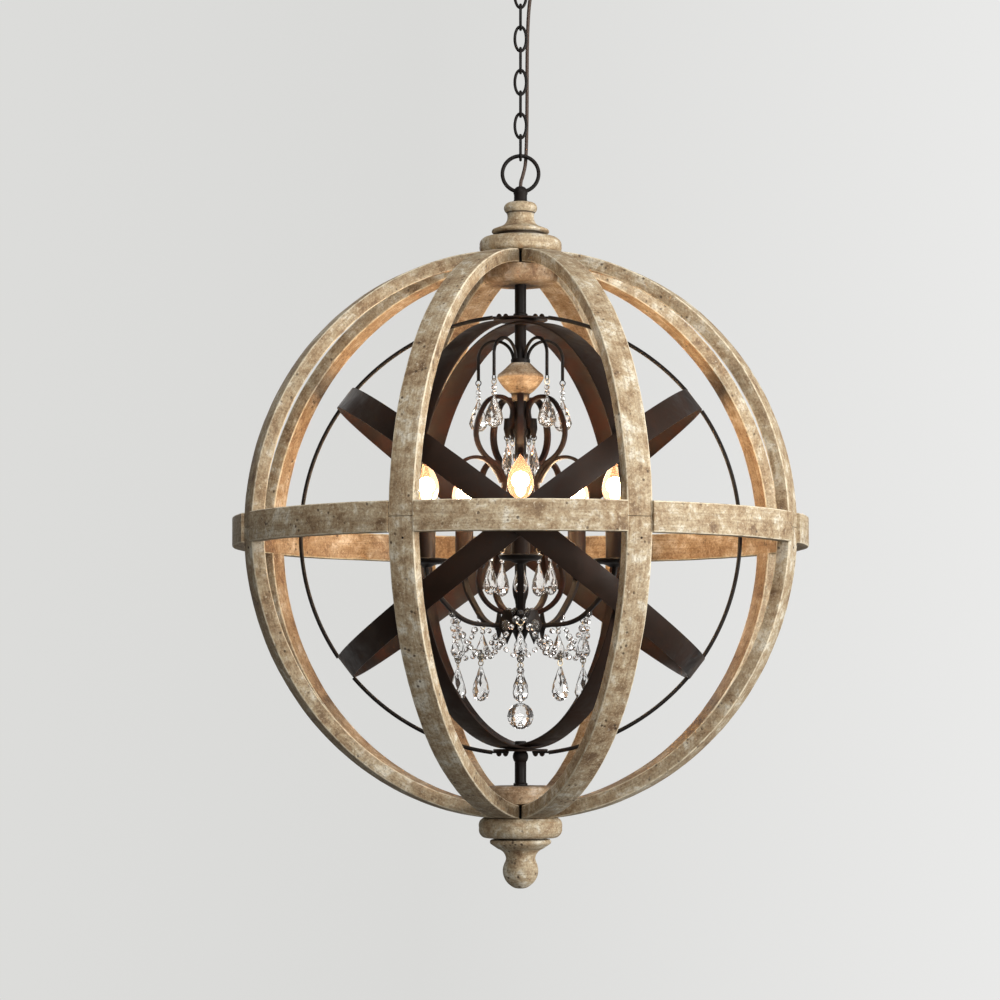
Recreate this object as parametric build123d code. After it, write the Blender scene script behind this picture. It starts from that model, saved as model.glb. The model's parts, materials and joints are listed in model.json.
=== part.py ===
from build123d import *
from math import atan2, cos, degrees, pi, radians, sin, sqrt, tan
import os

# Orb chandelier, in millimetres. Z = 0 is the ceiling. Azimuth 0 faces the front, along -Y, and grows to the right.
os.makedirs("parts", exist_ok=True)

# ---- driving dimensions ------------------------------------------------------------------------------------------
HOOP_OUTER = 344.5  # wooden hoops, outer radius
HOOP_DEPTH = 16.0
HOOP_WIDTH = 31.0
HOOP_COUNT = 8
HOOP_STEP = 360.0 / HOOP_COUNT
EQUATOR_OUTER = 348.0
EQUATOR_INNER = 332.0
EQUATOR_HEIGHT = 35.0
LAP_RADIUS = 337.0  # where the hoops and the equator hoop halve into each other
TENON_R = 5.0  # threaded nipple through the wooden ends

STEM_R = 7.0
STEM_BOTTOM = -114.0
INNER_DISC_R = 45.0
INNER_DISC_FACE = 304.0
CAP_TOP = 404.5

BAND_WIDTH = 30.0
BAND_THICK = 2.5
MERIDIAN_RADII = (254.2, 257.15)  # inner radii of the two upright bands
MERIDIAN_AZIMUTHS = (30.0, -30.0)
SLANTED_RADII = (263.3, 266.25)  # inner radii of the two slanted bands
SLANTED_TILTS = (37.5, -37.5)
WIRE_RING_R = 266.0
WIRE_R = 2.5
POLE_PLATE_R = 33.0
POLE_PLATE_FACE = 259.75
BOLT_PLACES = (18.0, 26.0)

LIGHT_COUNT = 5
LIGHT_STEP = 360.0 / LIGHT_COUNT
LIGHT_R = 119.0
DISH_Z = -36.0
DISH_R = 26.0
SLEEVE_R = 11.2
SLEEVE_BORE_R = 6.8
SLEEVE_TOP = 33.0
SLEEVE_BORE_DEPTH = 20.0
BAR_WIDTH = 8.0  # forged bar of the straps and arms, across the curve
BAR_THICK = 5.0
HUB_NECK_R = 12.0  # the straps end on the hub's neck, the arms on its drum
HUB_DRUM_R = 15.0

HANGER_WIRE_R = 2.0
UPPER_DROP_R = 54.0  # how far out each tier of crystals hangs, and the height of its pivots
UPPER_DROP_Z = 182.0
LEAF_DROP_R = 17.0
LEAF_DROP_Z = 113.0
INNER_DROP_R = 38.0
INNER_DROP_Z = -16.0
ARM_DROP_R = 79.0
ARM_DROP_Z = -108.5
LOWER_DROP_R = 80.0
LOWER_DROP_Z = -156.0
BALL_HOOK_Z = -152.0
LEAF_PLATE_R = 27.0  # the cast leaves round the hub
LOOP_GAP = 1.0  # play between linked eyes
EYE_R = 3.4  # small brass eyes: middle radius and wire
EYE_WIRE = 1.2

LINK_LENGTH = 34.0
LINK_BREADTH = 17.5
LINK_WIRE_R = 1.75
LINK_COUNT = 8
LINK_PITCH = 26.9
LINK_PLAY = 0.8
RING_R = 22.1
RING_WIRE_R = 2.4
RING_Z = 440.4

CANOPY_R = 63.0
CANOPY_DROP = 26.0
CANOPY_LOOP_R = 9.0
CANOPY_LOOP_WIRE_R = 2.3
CORD_R = 2.25
CORD_X = 8.0
CORD_Y = 5.7
MOUNT_SPACING = 88.9  # the two screws into the ceiling box

# ---- how finely round stretches are drawn --------------------------------------------------------------------------
ARC_CHORDS = 3
TURNED_SIDES = 20
SLIM_SIDES = 10
HOOP_CHORDS = 12
BAND_CHORDS = 48

# ---- heights that follow from the chain ---------------------------------------------------------------------------
LINK_INNER_HALF = LINK_LENGTH / 2 - 2 * LINK_WIRE_R
CANOPY_LOOP_Z = -CANOPY_DROP - 9.0 - CANOPY_LOOP_R
TOP_LINK_Z = CANOPY_LOOP_Z - CANOPY_LOOP_R + CANOPY_LOOP_WIRE_R + LINK_PLAY - LINK_INNER_HALF
BOTTOM_LINK_Z = TOP_LINK_Z - LINK_PITCH * (LINK_COUNT - 1)
ORB_Z = BOTTOM_LINK_Z - LINK_INNER_HALF + LINK_PLAY + RING_WIRE_R - RING_R - RING_Z  # orb centre below the ceiling
CORD_END_Z = ORB_Z + CAP_TOP + 17


# ---- helpers -------------------------------------------------------------------------------------------------------
def write(name, shape):
    """Writes one node as parts/NAME.step."""
    solids = shape.solids()
    export_step(solids[0] if len(solids) == 1 else Compound(children=list(solids)), f"parts/{name}.step")


def turn_to(azimuth):
    """A turn about the vertical axis that carries +X to the azimuth."""
    return Rot(0, 0, azimuth - 90)


def arc_points(start, through, end, chords):
    """Places along a round stretch in the XZ plane, without its start."""
    arc = ThreePointArc((start[0], 0, start[1]), (through[0], 0, through[1]), (end[0], 0, end[1]))
    places = [arc @ (k / chords) for k in range(1, chords + 1)]
    return [(p.X, p.Z) for p in places]


def outline_points(start, *steps):
    """The corners of an outline. A step is a point (r, z), or a pair of points: an arc goes through one to the other."""
    points = [start]
    for step in steps:
        if isinstance(step[0], tuple):
            points += arc_points(points[-1], *step, chords=ARC_CHORDS)
        else:
            points.append(step)
    return points


def solid_of(faces):
    solid = Solid(Shell(faces))
    return solid if solid.volume > 0 else Solid(Shell([-f for f in faces]))


def turned(start, *steps, sides=TURNED_SIDES):
    """A piece turned on the vertical axis, drawn with narrow flats."""
    corners = outline_points(start, *steps)
    angles = [2 * pi * k / sides for k in range(sides)]
    rows = [[Vector(r * cos(a), r * sin(a), z) for r, z in corners] for a in angles]
    faces = []
    for here, there in zip(rows, rows[1:] + rows[:1]):
        for k in range(len(corners)):
            around = [here[k - 1], here[k], there[k], there[k - 1]]
            kept = [c for i, c in enumerate(around) if (c - around[i - 1]).length > 1e-6]
            if len(kept) > 2:
                faces.append(Face(Wire.make_polygon(kept)))
    return solid_of(faces)


def faceted(rings, sides, place=Location()):
    """A cut or many-sided piece on the vertical axis. rings are (r, z) from the bottom up; r = 0 is a point."""
    levels = []
    for r, z in rings:
        angles = [2 * pi * k / sides for k in range(sides)]
        levels.append([Vector(r * cos(a), r * sin(a), z) for a in angles])
    faces = []
    for low, high in zip(levels, levels[1:]):
        for k in range(sides):
            n = (k + 1) % sides
            corners = [low[k], low[n], high[n], high[k]]
            kept = [c for i, c in enumerate(corners) if (c - corners[i - 1]).length > 1e-6]
            faces.append(Face(Wire.make_polygon(kept)))
    if rings[0][0] > 0:
        faces.append(Face(Wire.make_polygon(levels[0][::-1])))
    if rings[-1][0] > 0:
        faces.append(Face(Wire.make_polygon(levels[-1])))
    return place * solid_of(faces)


def flowing(start, direction, *points, chords=2):
    """Places along a smooth line in the XZ plane: each arc leaves in the direction in which the last one came in."""
    here = Vector(start[0], 0, start[1])
    heading = Vector(direction[0], 0, direction[1])
    places = [start]
    for r, z in points:
        arc = TangentArc(here, (r, 0, z), tangent=heading)
        places += [((arc @ (k / chords)).X, (arc @ (k / chords)).Z) for k in range(1, chords + 1)]
        heading = arc % 1
        here = arc @ 1
    return places


def run_through(points, section, closed=False):
    """A bar or wire through places in the XZ plane, with mitred bends. The section lists (in the plane, across it)."""
    centres = [Vector(x, 0, z) for x, z in points]
    count = len(centres)
    runs = [(centres[(k + 1) % count] - centres[k]).normalized() for k in range(count if closed else count - 1)]
    levels = []
    for k, here in enumerate(centres):
        before = runs[k - 1] if closed or k > 0 else runs[0]
        after = runs[k] if closed or k < count - 1 else runs[-1]
        along = (before + after).normalized()
        inward = along.cross(Vector(0, 1, 0)) * (1 / along.dot(after))
        levels.append([here + inward * u + Vector(0, v, 0) for u, v in section])
    pairs = list(zip(levels, levels[1:])) + ([(levels[-1], levels[0])] if closed else [])
    faces = []
    for low, high in pairs:
        for k in range(len(section)):
            n = (k + 1) % len(section)
            faces.append(Face(Wire.make_polygon([low[k], low[n], high[n], high[k]])))
    if not closed:
        faces.append(Face(Wire.make_polygon(levels[0][::-1])))
        faces.append(Face(Wire.make_polygon(levels[-1])))
    return solid_of(faces)


def flat_bar(points, thick, width):
    """A flat bar bent edge on."""
    u, v = thick / 2, width / 2
    return run_through(points, [(u, -v), (u, v), (-u, v), (-u, -v)])


def round_wire(points, radius, closed=False, sides=6):
    """A wire of the given radius, drawn with flats of the same section area."""
    r = radius * sqrt(2 * pi / (sides * sin(2 * pi / sides)))
    angles = [2 * pi * (k + 0.5) / sides for k in range(sides)]
    return run_through(points, [(r * cos(a), r * sin(a)) for a in angles], closed)


def circle_points(radius, centre_z, count):
    angles = [2 * pi * k / count for k in range(count)]
    return [(radius * sin(a), centre_z - radius * cos(a)) for a in angles]


def small_eye(place):
    """A brass eye in the XZ plane, its centre at the origin."""
    section = [(EYE_WIRE / 2, -EYE_WIRE / 2), (EYE_WIRE / 2, EYE_WIRE / 2), (-EYE_WIRE / 2, EYE_WIRE / 2),
               (-EYE_WIRE / 2, -EYE_WIRE / 2)]
    return place * run_through(circle_points(EYE_R, 0, 6), section, closed=True)


def at_orb(shape):
    return Pos(0, 0, ORB_Z) * shape


# ---- canopy, its crossbar and its loop -----------------------------------------------------------------------------
def make_canopy():
    wall = 1.6
    shell = turned(
        (TENON_R, -CANOPY_DROP),
        (30, -CANOPY_DROP),
        ((52, -CANOPY_DROP + 7), (CANOPY_R, -3)),
        (CANOPY_R, 0),
        (CANOPY_R - wall, 0),
        (CANOPY_R - wall, -3),
        ((51, -CANOPY_DROP + 8.2), (30, -CANOPY_DROP + wall)),
        (TENON_R, -CANOPY_DROP + wall),
    )
    cord_hole = Pos(CORD_X + 12, CORD_Y, -CANOPY_DROP) * Cylinder(CORD_R + 0.4, 10)
    write("ceiling_canopy", shell - cord_hole)


def make_crossbar():
    bar = Pos(0, 0, -1.5) * Box(104, 16, 3)
    for x in (-MOUNT_SPACING / 2, MOUNT_SPACING / 2):
        bar -= Pos(x, 0, -1.5) * Cylinder(2.4, 4)
    nipple_length = CANOPY_DROP - 3
    nipple = Pos(0, 0, -3 - nipple_length / 2) * Cylinder(TENON_R, nipple_length)
    write("ceiling_crossbar", bar + nipple)


def make_canopy_loop():
    ring = Rot(0, 0, 90) * round_wire(circle_points(CANOPY_LOOP_R, CANOPY_LOOP_Z, 16), CANOPY_LOOP_WIRE_R, True, 8)
    collar = turned(
        (0, -CANOPY_DROP),
        (11, -CANOPY_DROP),
        (11, -CANOPY_DROP - 3),
        ((8.5, -CANOPY_DROP - 7.5), (3, -CANOPY_DROP - 9.5)),
        (0, -CANOPY_DROP - 9.5),
        sides=SLIM_SIDES,
    )
    write("canopy_loop", collar + ring)


# ---- chain ----------------------------------------------------------------------------------------------------------
def link(centre_z, edge_on):
    half_straight = (LINK_LENGTH - LINK_BREADTH) / 2
    bend = LINK_BREADTH / 2 - LINK_WIRE_R
    points = [(bend, -half_straight), (bend, half_straight)]
    points += arc_points(points[-1], (0, half_straight + bend), (-bend, half_straight), 4)
    points += [(-bend, -half_straight)]
    points += arc_points(points[-1], (0, -half_straight - bend), (bend, -half_straight), 4)[:-1]
    return Pos(0, 0, centre_z) * Rot(0, 0, 90 if edge_on else 0) * round_wire(points, LINK_WIRE_R, closed=True)


def make_chain():
    links = [link(TOP_LINK_Z - LINK_PITCH * k, k % 2 == 1) for k in range(LINK_COUNT)]
    print("orb centre at", round(ORB_Z, 2))
    write("chain", Compound(children=links))


# ---- supply cord ------------------------------------------------------------------------------------------------------
CORD_ROUTE = [
    (CORD_X + 12, CORD_Y, -CANOPY_DROP),
    (CORD_X + 12, CORD_Y, -CANOPY_DROP - 22),
    (CORD_X, CORD_Y, -CANOPY_DROP - 50),
    (CORD_X, CORD_Y, ORB_Z + RING_Z + 21),
    (2.5, 1.6, ORB_Z + RING_Z - 4),
    (0, 0, CORD_END_Z + 9),
    (0, 0, CORD_END_Z),
]


def rounded_route(points):
    """Straight runs joined by arcs as large as the two runs at each corner allow."""
    corners = [Vector(*p) for p in points]
    radii = []
    for before, corner, after in zip(corners, corners[1:], corners[2:]):
        half_turn = radians((corner - before).get_angle(after - corner)) / 2
        radii.append(0.45 * min((corner - before).length, (after - corner).length) / tan(half_turn))
    print("cord radii", [round(r, 1) for r in radii])
    return FilletPolyline(*corners, radius=radii)


def make_supply_cord():
    path = rounded_route(CORD_ROUTE)
    section = Plane(origin=path @ 0, z_dir=path % 0) * RegularPolygon(CORD_R, 8)
    cord = sweep(section, path=path)
    print("cord length", round(path.length, 1), "volume ratio", round(cord.volume / (section.area * path.length), 4))
    write("supply_cord", cord)


# ---- wooden orb ---------------------------------------------------------------------------------------------------------
def make_hanging_loop():
    ring = round_wire(circle_points(RING_R, RING_Z, 24), RING_WIRE_R, True, 8)
    collar = turned(
        (0, CAP_TOP),
        (8.75, CAP_TOP),
        (8.75, CAP_TOP + 11),
        ((7.2, CAP_TOP + 17.5), (CORD_R + 0.4, CAP_TOP + 20.5)),
        (CORD_R + 0.4, CAP_TOP + 17),
        (0, CAP_TOP + 17),
        sides=SLIM_SIDES,
    )
    write("hanging_loop", at_orb(collar + ring))


def make_top_cap():
    cap = turned(
        (TENON_R, CAP_TOP),
        (15.5, CAP_TOP),
        ((20.2, CAP_TOP - 5.5), (17, 392)),
        ((17, 382), (24.5, 375)),
        (34.5, 370.5),
        (34.5, 366.5),
        (31.5, 364.8),
        (42, 364.8),
        ((49.8, 359.5), (50, 350)),
        (47, 341.6),
        ((28, 343.6), (TENON_R, 344.5)),
    )
    write("top_cap", at_orb(cap))


def make_inner_discs():
    face = INNER_DISC_FACE
    crown = (HOOP_OUTER - HOOP_DEPTH) * cos(radians(45 / HOOP_CHORDS))
    disc = turned(
        (TENON_R, face),
        (INNER_DISC_R - 8, face),
        ((INNER_DISC_R - 2, face + 2.5), (INNER_DISC_R, face + 9)),
        (INNER_DISC_R, sqrt(crown**2 - INNER_DISC_R**2)),
        ((25, sqrt(crown**2 - 25**2)), (TENON_R, sqrt(crown**2 - TENON_R**2))),
    )
    write("top_inner_disc", at_orb(disc))
    write("bottom_inner_disc", at_orb(Rot(180, 0, 0) * disc))


def quarter_arc(upper):
    """A quarter of a hoop, on the +X side: from the equator to its mitred end at the pole."""
    step = radians(90 / HOOP_CHORDS)
    rim = [(cos(step * k), sin(step * k)) for k in range(HOOP_CHORDS + 1)]
    inner = HOOP_OUTER - HOOP_DEPTH
    corners = [(HOOP_OUTER * x, 0, HOOP_OUTER * z) for x, z in rim] + [(inner * x, 0, inner * z) for x, z in rim[::-1]]
    hoop = extrude(Face(Wire.make_polygon(corners)), HOOP_WIDTH / 2, both=True)
    reach = HOOP_OUTER + 10
    half_breadth = reach * tan(radians(HOOP_STEP / 2))
    wedge = extrude(Polygon((0, 0), (reach, -half_breadth), (reach, half_breadth), align=None), reach)
    arc = hoop & wedge
    arc -= Cylinder(LAP_RADIUS, EQUATOR_HEIGHT)
    arc -= Pos(0, 0, HOOP_OUTER) * Cylinder(TENON_R, 60)
    return arc if upper else mirror(arc, Plane.XY)


def hoop_azimuth(k):
    return (k + 0.5) * HOOP_STEP


def make_wood_hoops():
    upper = quarter_arc(True)
    lower = quarter_arc(False)
    for k in range(HOOP_COUNT // 2):
        turns = [turn_to(hoop_azimuth(k)), turn_to(hoop_azimuth(k + HOOP_COUNT // 2))]
        write(f"wood_hoop_{k + 1}", at_orb(Compound(children=[t * arc for t in turns for arc in (upper, lower)])))


def make_equator_hoop():
    ring = Cylinder(EQUATOR_OUTER, EQUATOR_HEIGHT) - Cylinder(EQUATOR_INNER, EQUATOR_HEIGHT)
    notch = Pos(EQUATOR_OUTER, 0, 0) * Box(60, HOOP_WIDTH, EQUATOR_HEIGHT) - Cylinder(LAP_RADIUS, EQUATOR_HEIGHT)
    for k in range(HOOP_COUNT):
        ring -= turn_to(hoop_azimuth(k)) * notch
    write("equator_hoop", at_orb(ring))


def make_bottom_finial():
    finial = turned(
        (TENON_R, -344.5),
        ((28, -343.6), (50, -341.4)),
        (50, -358),
        ((48.5, -364.5), (43, -366.7)),
        (33, -366.7),
        (36.2, -369.5),
        ((34.5, -378), (24, -382)),
        ((18.5, -385), (17.4, -391.5)),
        (19, -395),
        ((21, -410), (11, -424)),
        ((6, -426.6), (0, -427)),
        (0, -386),
        (TENON_R, -386),
    )
    write("bottom_finial", at_orb(finial))


# ---- iron cage ------------------------------------------------------------------------------------------------------------
def band(inner, plane):
    """A flat band bent to a hoop, standing across the plane it is drawn in."""
    hoop = RegularPolygon(inner + BAND_THICK, BAND_CHORDS) - RegularPolygon(inner, BAND_CHORDS)
    return extrude(plane * hoop, BAND_WIDTH / 2, both=True)


def make_meridian_bands():
    stem_way = Pos(0, 0, -300) * extrude(RegularPolygon(STEM_R, SLIM_SIDES), 600)
    bands = [turn_to(a) * band(r, Plane.XZ) - stem_way for r, a in zip(MERIDIAN_RADII, MERIDIAN_AZIMUTHS)]
    write("meridian_bands", at_orb(Compound(children=bands)))


def make_slanted_bands():
    bands = [Rot(0, -tilt, 0) * band(r, Plane.XY) for r, tilt in zip(SLANTED_RADII, SLANTED_TILTS)]
    write("slanted_bands", at_orb(Compound(children=bands)))


def make_wire_ring():
    """Six arcs of wire between the slanted bands and the tabs that bolt to the pole plates."""
    band_half = degrees(atan2(BAND_WIDTH / 2 + 0.15, WIRE_RING_R))
    pole_half = degrees(atan2(POLE_PLATE_R + 1, WIRE_RING_R))
    tilt = SLANTED_TILTS[0]
    spans = [
        (tilt + band_half, 90 - pole_half),
        (-tilt + band_half, tilt - band_half),
        (-90 + pole_half, -tilt - band_half),
    ]
    pieces = []
    for low, high in spans:
        angles = [radians(low + (high - low) * k / 8) for k in range(9)]
        pieces.append(round_wire([(WIRE_RING_R * cos(a), WIRE_RING_R * sin(a)) for a in angles], WIRE_R))
    plate_out = POLE_PLATE_FACE + BAND_THICK
    for sign in (1, -1):
        tab = Pos(25.5, 0, sign * (plate_out + BAND_THICK / 2)) * Box(23, 10, BAND_THICK)
        touching = 0 if sign > 0 else 2
        pieces[touching] = pieces[touching] + tab
    solids = []
    for piece in pieces:
        for turn in (0, 180):
            solids += (Rot(0, 0, turn) * piece).solids()
    write("wire_ring", at_orb(Compound(children=solids)))


def make_pole_plates():
    half = BAND_THICK / 2
    plate = turned((STEM_R, -half), (POLE_PLATE_R, -half), (POLE_PLATE_R, half), (STEM_R, half))
    solids = []
    for sign in (1, -1):
        solids.append(Pos(0, 0, sign * (POLE_PLATE_FACE + BAND_THICK / 2)) * plate)
        for x in BOLT_PLACES:
            for side in (1, -1):
                head = extrude(RegularPolygon(4.0, 6), 3)
                base = POLE_PLATE_FACE + 2 * BAND_THICK
                solids.append(Rot(0 if sign > 0 else 180, 0, 0) * Pos(side * x, 0, base) * head)
    write("pole_plates", at_orb(Compound(children=[s for piece in solids for s in piece.solids()])))


# ---- stem, hub and turned vase ----------------------------------------------------------------------------------------------
def make_stem():
    stem = turned(
        (0, STEM_BOTTOM),
        (6, STEM_BOTTOM),
        (6, -86),
        (STEM_R, -80),
        ((9.8, -64), (STEM_R, -52)),
        (STEM_R, INNER_DISC_FACE),
        (TENON_R, INNER_DISC_FACE),
        (TENON_R, CAP_TOP),
        (0, CAP_TOP),
        sides=SLIM_SIDES,
    )
    write("stem", at_orb(stem))


def make_lower_stem():
    plate_out = -POLE_PLATE_FACE - BAND_THICK
    stem = turned(
        (0, -250),
        (STEM_R, -250),
        (STEM_R, plate_out),
        ((9.4, plate_out - 6.5), (STEM_R, plate_out - 13)),
        (STEM_R, -INNER_DISC_FACE),
        (TENON_R, -INNER_DISC_FACE),
        (TENON_R, -386),
        (0, -386),
        sides=SLIM_SIDES,
    )
    write("lower_stem", at_orb(stem))


def make_vase():
    vase = turned(
        (STEM_R, 208),
        (12, 208),
        ((17.5, 202.5), (27.5, 193.5)),
        (28.4, 190),
        ((21, 179), (11, 170)),
        (10.5, 164),
        (9.2, 161),
        (STEM_R, 161),
    )
    write("wood_vase", at_orb(vase))


def make_hub():
    hub = turned(
        (6, -90),
        (HUB_NECK_R, -92),
        (HUB_NECK_R, -101),
        (9, -103),
        (HUB_DRUM_R, -106),
        (HUB_DRUM_R, -116),
        (9, -120),
        (4, -132),
        (2, -144),
        (4, -148),
        (1.2, -150),
        (0, -150),
        (0, STEM_BOTTOM),
        (6, STEM_BOTTOM),
        sides=SLIM_SIDES,
    )
    hub += small_eye(Pos(0, 0, BALL_HOOK_Z))
    for k in range(LIGHT_COUNT):
        leaf = extrude(Plane.YZ * Polygon((0, -131), (11, -110), (4, -95), (-4, -95), (-11, -110), align=None), 2.5)
        tongue = Pos(LEAF_PLATE_R / 2 + 5, 0, -110) * Box(LEAF_PLATE_R - 8, 5, 4)
        hub += turn_to((k + 0.5) * LIGHT_STEP) * (Pos(LEAF_PLATE_R, 0, 0) * leaf + tongue)
    write("hub", at_orb(hub))


# ---- straps, arms, candles ------------------------------------------------------------------------------------------------------
def make_straps():
    """Each strap rises from the hub, bellies out twice and ends in a leaf beside the stem."""
    strap_line = flowing((15, 130), (-0.5, 1), (10, 147), (24, 166), (45, 157), (55.5, 132), (37, 88), (21, 55),
                         (34, 10), (53, -50), (40, -86), (17, -96))
    strap_line.append((HUB_NECK_R * cos(pi / SLIM_SIDES), -96))
    scroll_line = flowing((24, 62), (0.4, 1), (38, 84), (58, 92), (77, 82), (82, 66), (75, 57), (69, 63))
    leaf = Polygon((0, 119), (6.5, 127), (4, 138), (-4, 138), (-6.5, 127), align=None)
    strap = flat_bar(strap_line, BAR_THICK, BAR_WIDTH) + flat_bar(scroll_line, BAR_THICK - 1, BAR_WIDTH)
    strap += Pos(15.4, 0, 0) * extrude(Plane.YZ * leaf, 3)
    strap += small_eye(Pos(LEAF_DROP_R, 0, LEAF_DROP_Z + EYE_R))
    strap += small_eye(Pos(INNER_DROP_R, 0, INNER_DROP_Z + EYE_R))
    turns = [turn_to(k * LIGHT_STEP) for k in range(LIGHT_COUNT)]
    write("lyre_straps", at_orb(Compound(children=[s for t in turns for s in (t * strap).solids()])))


ARM_LINE = flowing((HUB_DRUM_R * cos(pi / SLIM_SIDES), -111), (1, 0), (50, -110), (86, -94), (108, -70), (LIGHT_R, DISH_Z - 5))


def make_arms():
    arm = flat_bar(ARM_LINE, BAR_THICK, BAR_WIDTH) + small_eye(Pos(ARM_DROP_R, 0, ARM_DROP_Z + EYE_R))
    dish = faceted([(5, DISH_Z - 6), (9, DISH_Z - 4), (19, DISH_Z - 2), (DISH_R, DISH_Z + 3), (DISH_R - 1, DISH_Z + 4),
                    (18, DISH_Z + 0.5), (SLEEVE_R + 1, DISH_Z)], 12, Pos(LIGHT_R, 0, 0))
    turns = [turn_to(k * LIGHT_STEP) for k in range(LIGHT_COUNT)]
    write("candle_arms", at_orb(Compound(children=[s for t in turns for s in (t * (arm + dish)).solids()])))


def make_sleeves():
    floor = SLEEVE_TOP - SLEEVE_BORE_DEPTH
    sleeve = Pos(LIGHT_R, 0, 0) * turned(
        (0, DISH_Z),
        (SLEEVE_R, DISH_Z),
        (SLEEVE_R, SLEEVE_TOP),
        (SLEEVE_BORE_R, SLEEVE_TOP),
        (SLEEVE_BORE_R, floor),
        (0, floor),
        sides=SLIM_SIDES,
    )
    turns = [turn_to(k * LIGHT_STEP) for k in range(LIGHT_COUNT)]
    write("candle_sleeves", at_orb(Compound(children=[s for t in turns for s in (t * sleeve).solids()])))


def make_bulbs():
    foot = SLEEVE_TOP - SLEEVE_BORE_DEPTH + 1
    rings = [(6, foot), (6, SLEEVE_TOP), (9, SLEEVE_TOP + 0.5), (14, 44), (15.5, 53), (14, 62), (8, 74), (3, 82), (0, 87)]
    bulb = faceted(rings, 10, Pos(LIGHT_R, 0, 0))
    for k in range(LIGHT_COUNT):
        write(f"bulb_{k + 1}", at_orb(turn_to(k * LIGHT_STEP) * bulb))


# ---- crystals -----------------------------------------------------------------------------------------------------------------------
def eye_below(pivot_z):
    """Where the lower of two linked eyes has its centre, for a pivot in the bottom wire of the upper one."""
    return pivot_z + EYE_WIRE / 2 + LOOP_GAP + EYE_WIRE / 2 - EYE_R


def make_hanger():
    """Five wires that rise from a collar on the stem and bend over, each ending in an eye."""
    line = flowing((STEM_R + 2.2, 213), (0, 1), (32, 236), (UPPER_DROP_R, 213))
    wire = round_wire(line + [(UPPER_DROP_R, UPPER_DROP_Z + 2 * EYE_R - 0.2)], HANGER_WIRE_R)
    branch = wire + small_eye(Pos(UPPER_DROP_R, 0, UPPER_DROP_Z + EYE_R))
    collar = turned((STEM_R, 208), (12, 208), (12, 213), (STEM_R, 213), sides=SLIM_SIDES)
    turns = [turn_to((k + 0.5) * LIGHT_STEP) for k in range(LIGHT_COUNT)]
    write("crystal_hanger", at_orb(Compound(children=[s for t in turns for s in (t * branch).solids()] + collar.solids())))


def drop(length, width, beads=0):
    """A cut pear drop, under a few beads, that hangs from its own eye, with the pivot at the origin."""
    eye_z = eye_below(0)
    top = eye_z - EYE_R
    made = Rot(0, 0, 90) * small_eye(Pos(0, 0, eye_z))
    for k in range(beads):
        made += faceted([(1.2, -7.4), (3.6, -3.7), (1.2, 0)], 6, Pos(0, 0, top - 7 * k))
    half = width / 2
    rings = [(0, -length), (0.6 * half, -0.94 * length), (half, -0.72 * length), (0.72 * half, -0.4 * length),
             (0.25 * half, 0)]
    return made + faceted(rings, 8, Pos(0, 0, top - 7 * beads))


def make_drops():
    """Five tiers of hanging drops, five to a tier, between or on the lines of the arms."""
    tiers = (
        ("upper_drop", 0.5, UPPER_DROP_R, UPPER_DROP_Z, drop(38, 19, beads=2)),
        ("leaf_drop", 0, LEAF_DROP_R, LEAF_DROP_Z, drop(28, 11)),
        ("inner_drop", 0, INNER_DROP_R, INNER_DROP_Z, drop(40, 15, beads=2)),
        ("arm_drop", 0, ARM_DROP_R, ARM_DROP_Z, drop(30, 15, beads=1)),
        ("lower_drop", 0.5, LOWER_DROP_R, LOWER_DROP_Z, drop(42, 18)),
    )
    for name, shift, r, z, made in tiers:
        for k in range(LIGHT_COUNT):
            turn = turn_to((k + shift) * LIGHT_STEP)
            write(f"{name}_{k + 1}", at_orb(turn * Pos(r, 0, z) * made))


def make_ball_drop():
    eye_z = eye_below(0)
    eye = Rot(0, 0, 90) * small_eye(Pos(0, 0, eye_z))
    z = eye_z - EYE_R
    ball_r = 16.0
    made = eye
    for k in range(4):
        made += faceted([(1.2, -11.5), (5, -5.5), (1.2, 0)], 6, Pos(0, 0, z - 11 * k))
    z -= 44
    rings = [(ball_r * sin(pi * k / 6), -ball_r * cos(pi * k / 6)) for k in range(1, 6)]
    made += faceted([(0, -ball_r)] + rings + [(0, ball_r)], 10, Pos(0, 0, z - ball_r + 0.6))
    write("crystal_ball", at_orb(Pos(0, 0, BALL_HOOK_Z - EYE_R) * made))


def swag_points(start, end, sag, count):
    """Places along a hanging string of beads."""
    a, b = Vector(*start), Vector(*end)
    return [a + (b - a) * t - Vector(0, 0, 4 * sag * t * (1 - t)) for t in [k / count for k in range(count + 1)]]


def beads_between(points, radius):
    """Pointed beads strung end to end, with a slim one at each end."""
    beads = []
    for k, (here, there) in enumerate(zip(points, points[1:])):
        run = there - here
        frame = Location(Plane(origin=(here + there) / 2, z_dir=run))
        breadth = radius if 0 < k < len(points) - 2 else radius * 0.4
        beads.append(faceted([(0, -run.length / 2), (breadth, 0), (0, run.length / 2)], 5, frame))
    return beads


def arm_underside(share):
    """A place under the candle arm, so far along it."""
    x, z = ARM_LINE[round(share * (len(ARM_LINE) - 1))]
    before = ARM_LINE[round(share * (len(ARM_LINE) - 1)) - 1]
    run = Vector(x - before[0], 0, z - before[1]).normalized()
    return Vector(x, 0, z) + run.cross(Vector(0, 1, 0)) * -(BAR_THICK / 2 + 0.6)


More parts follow.
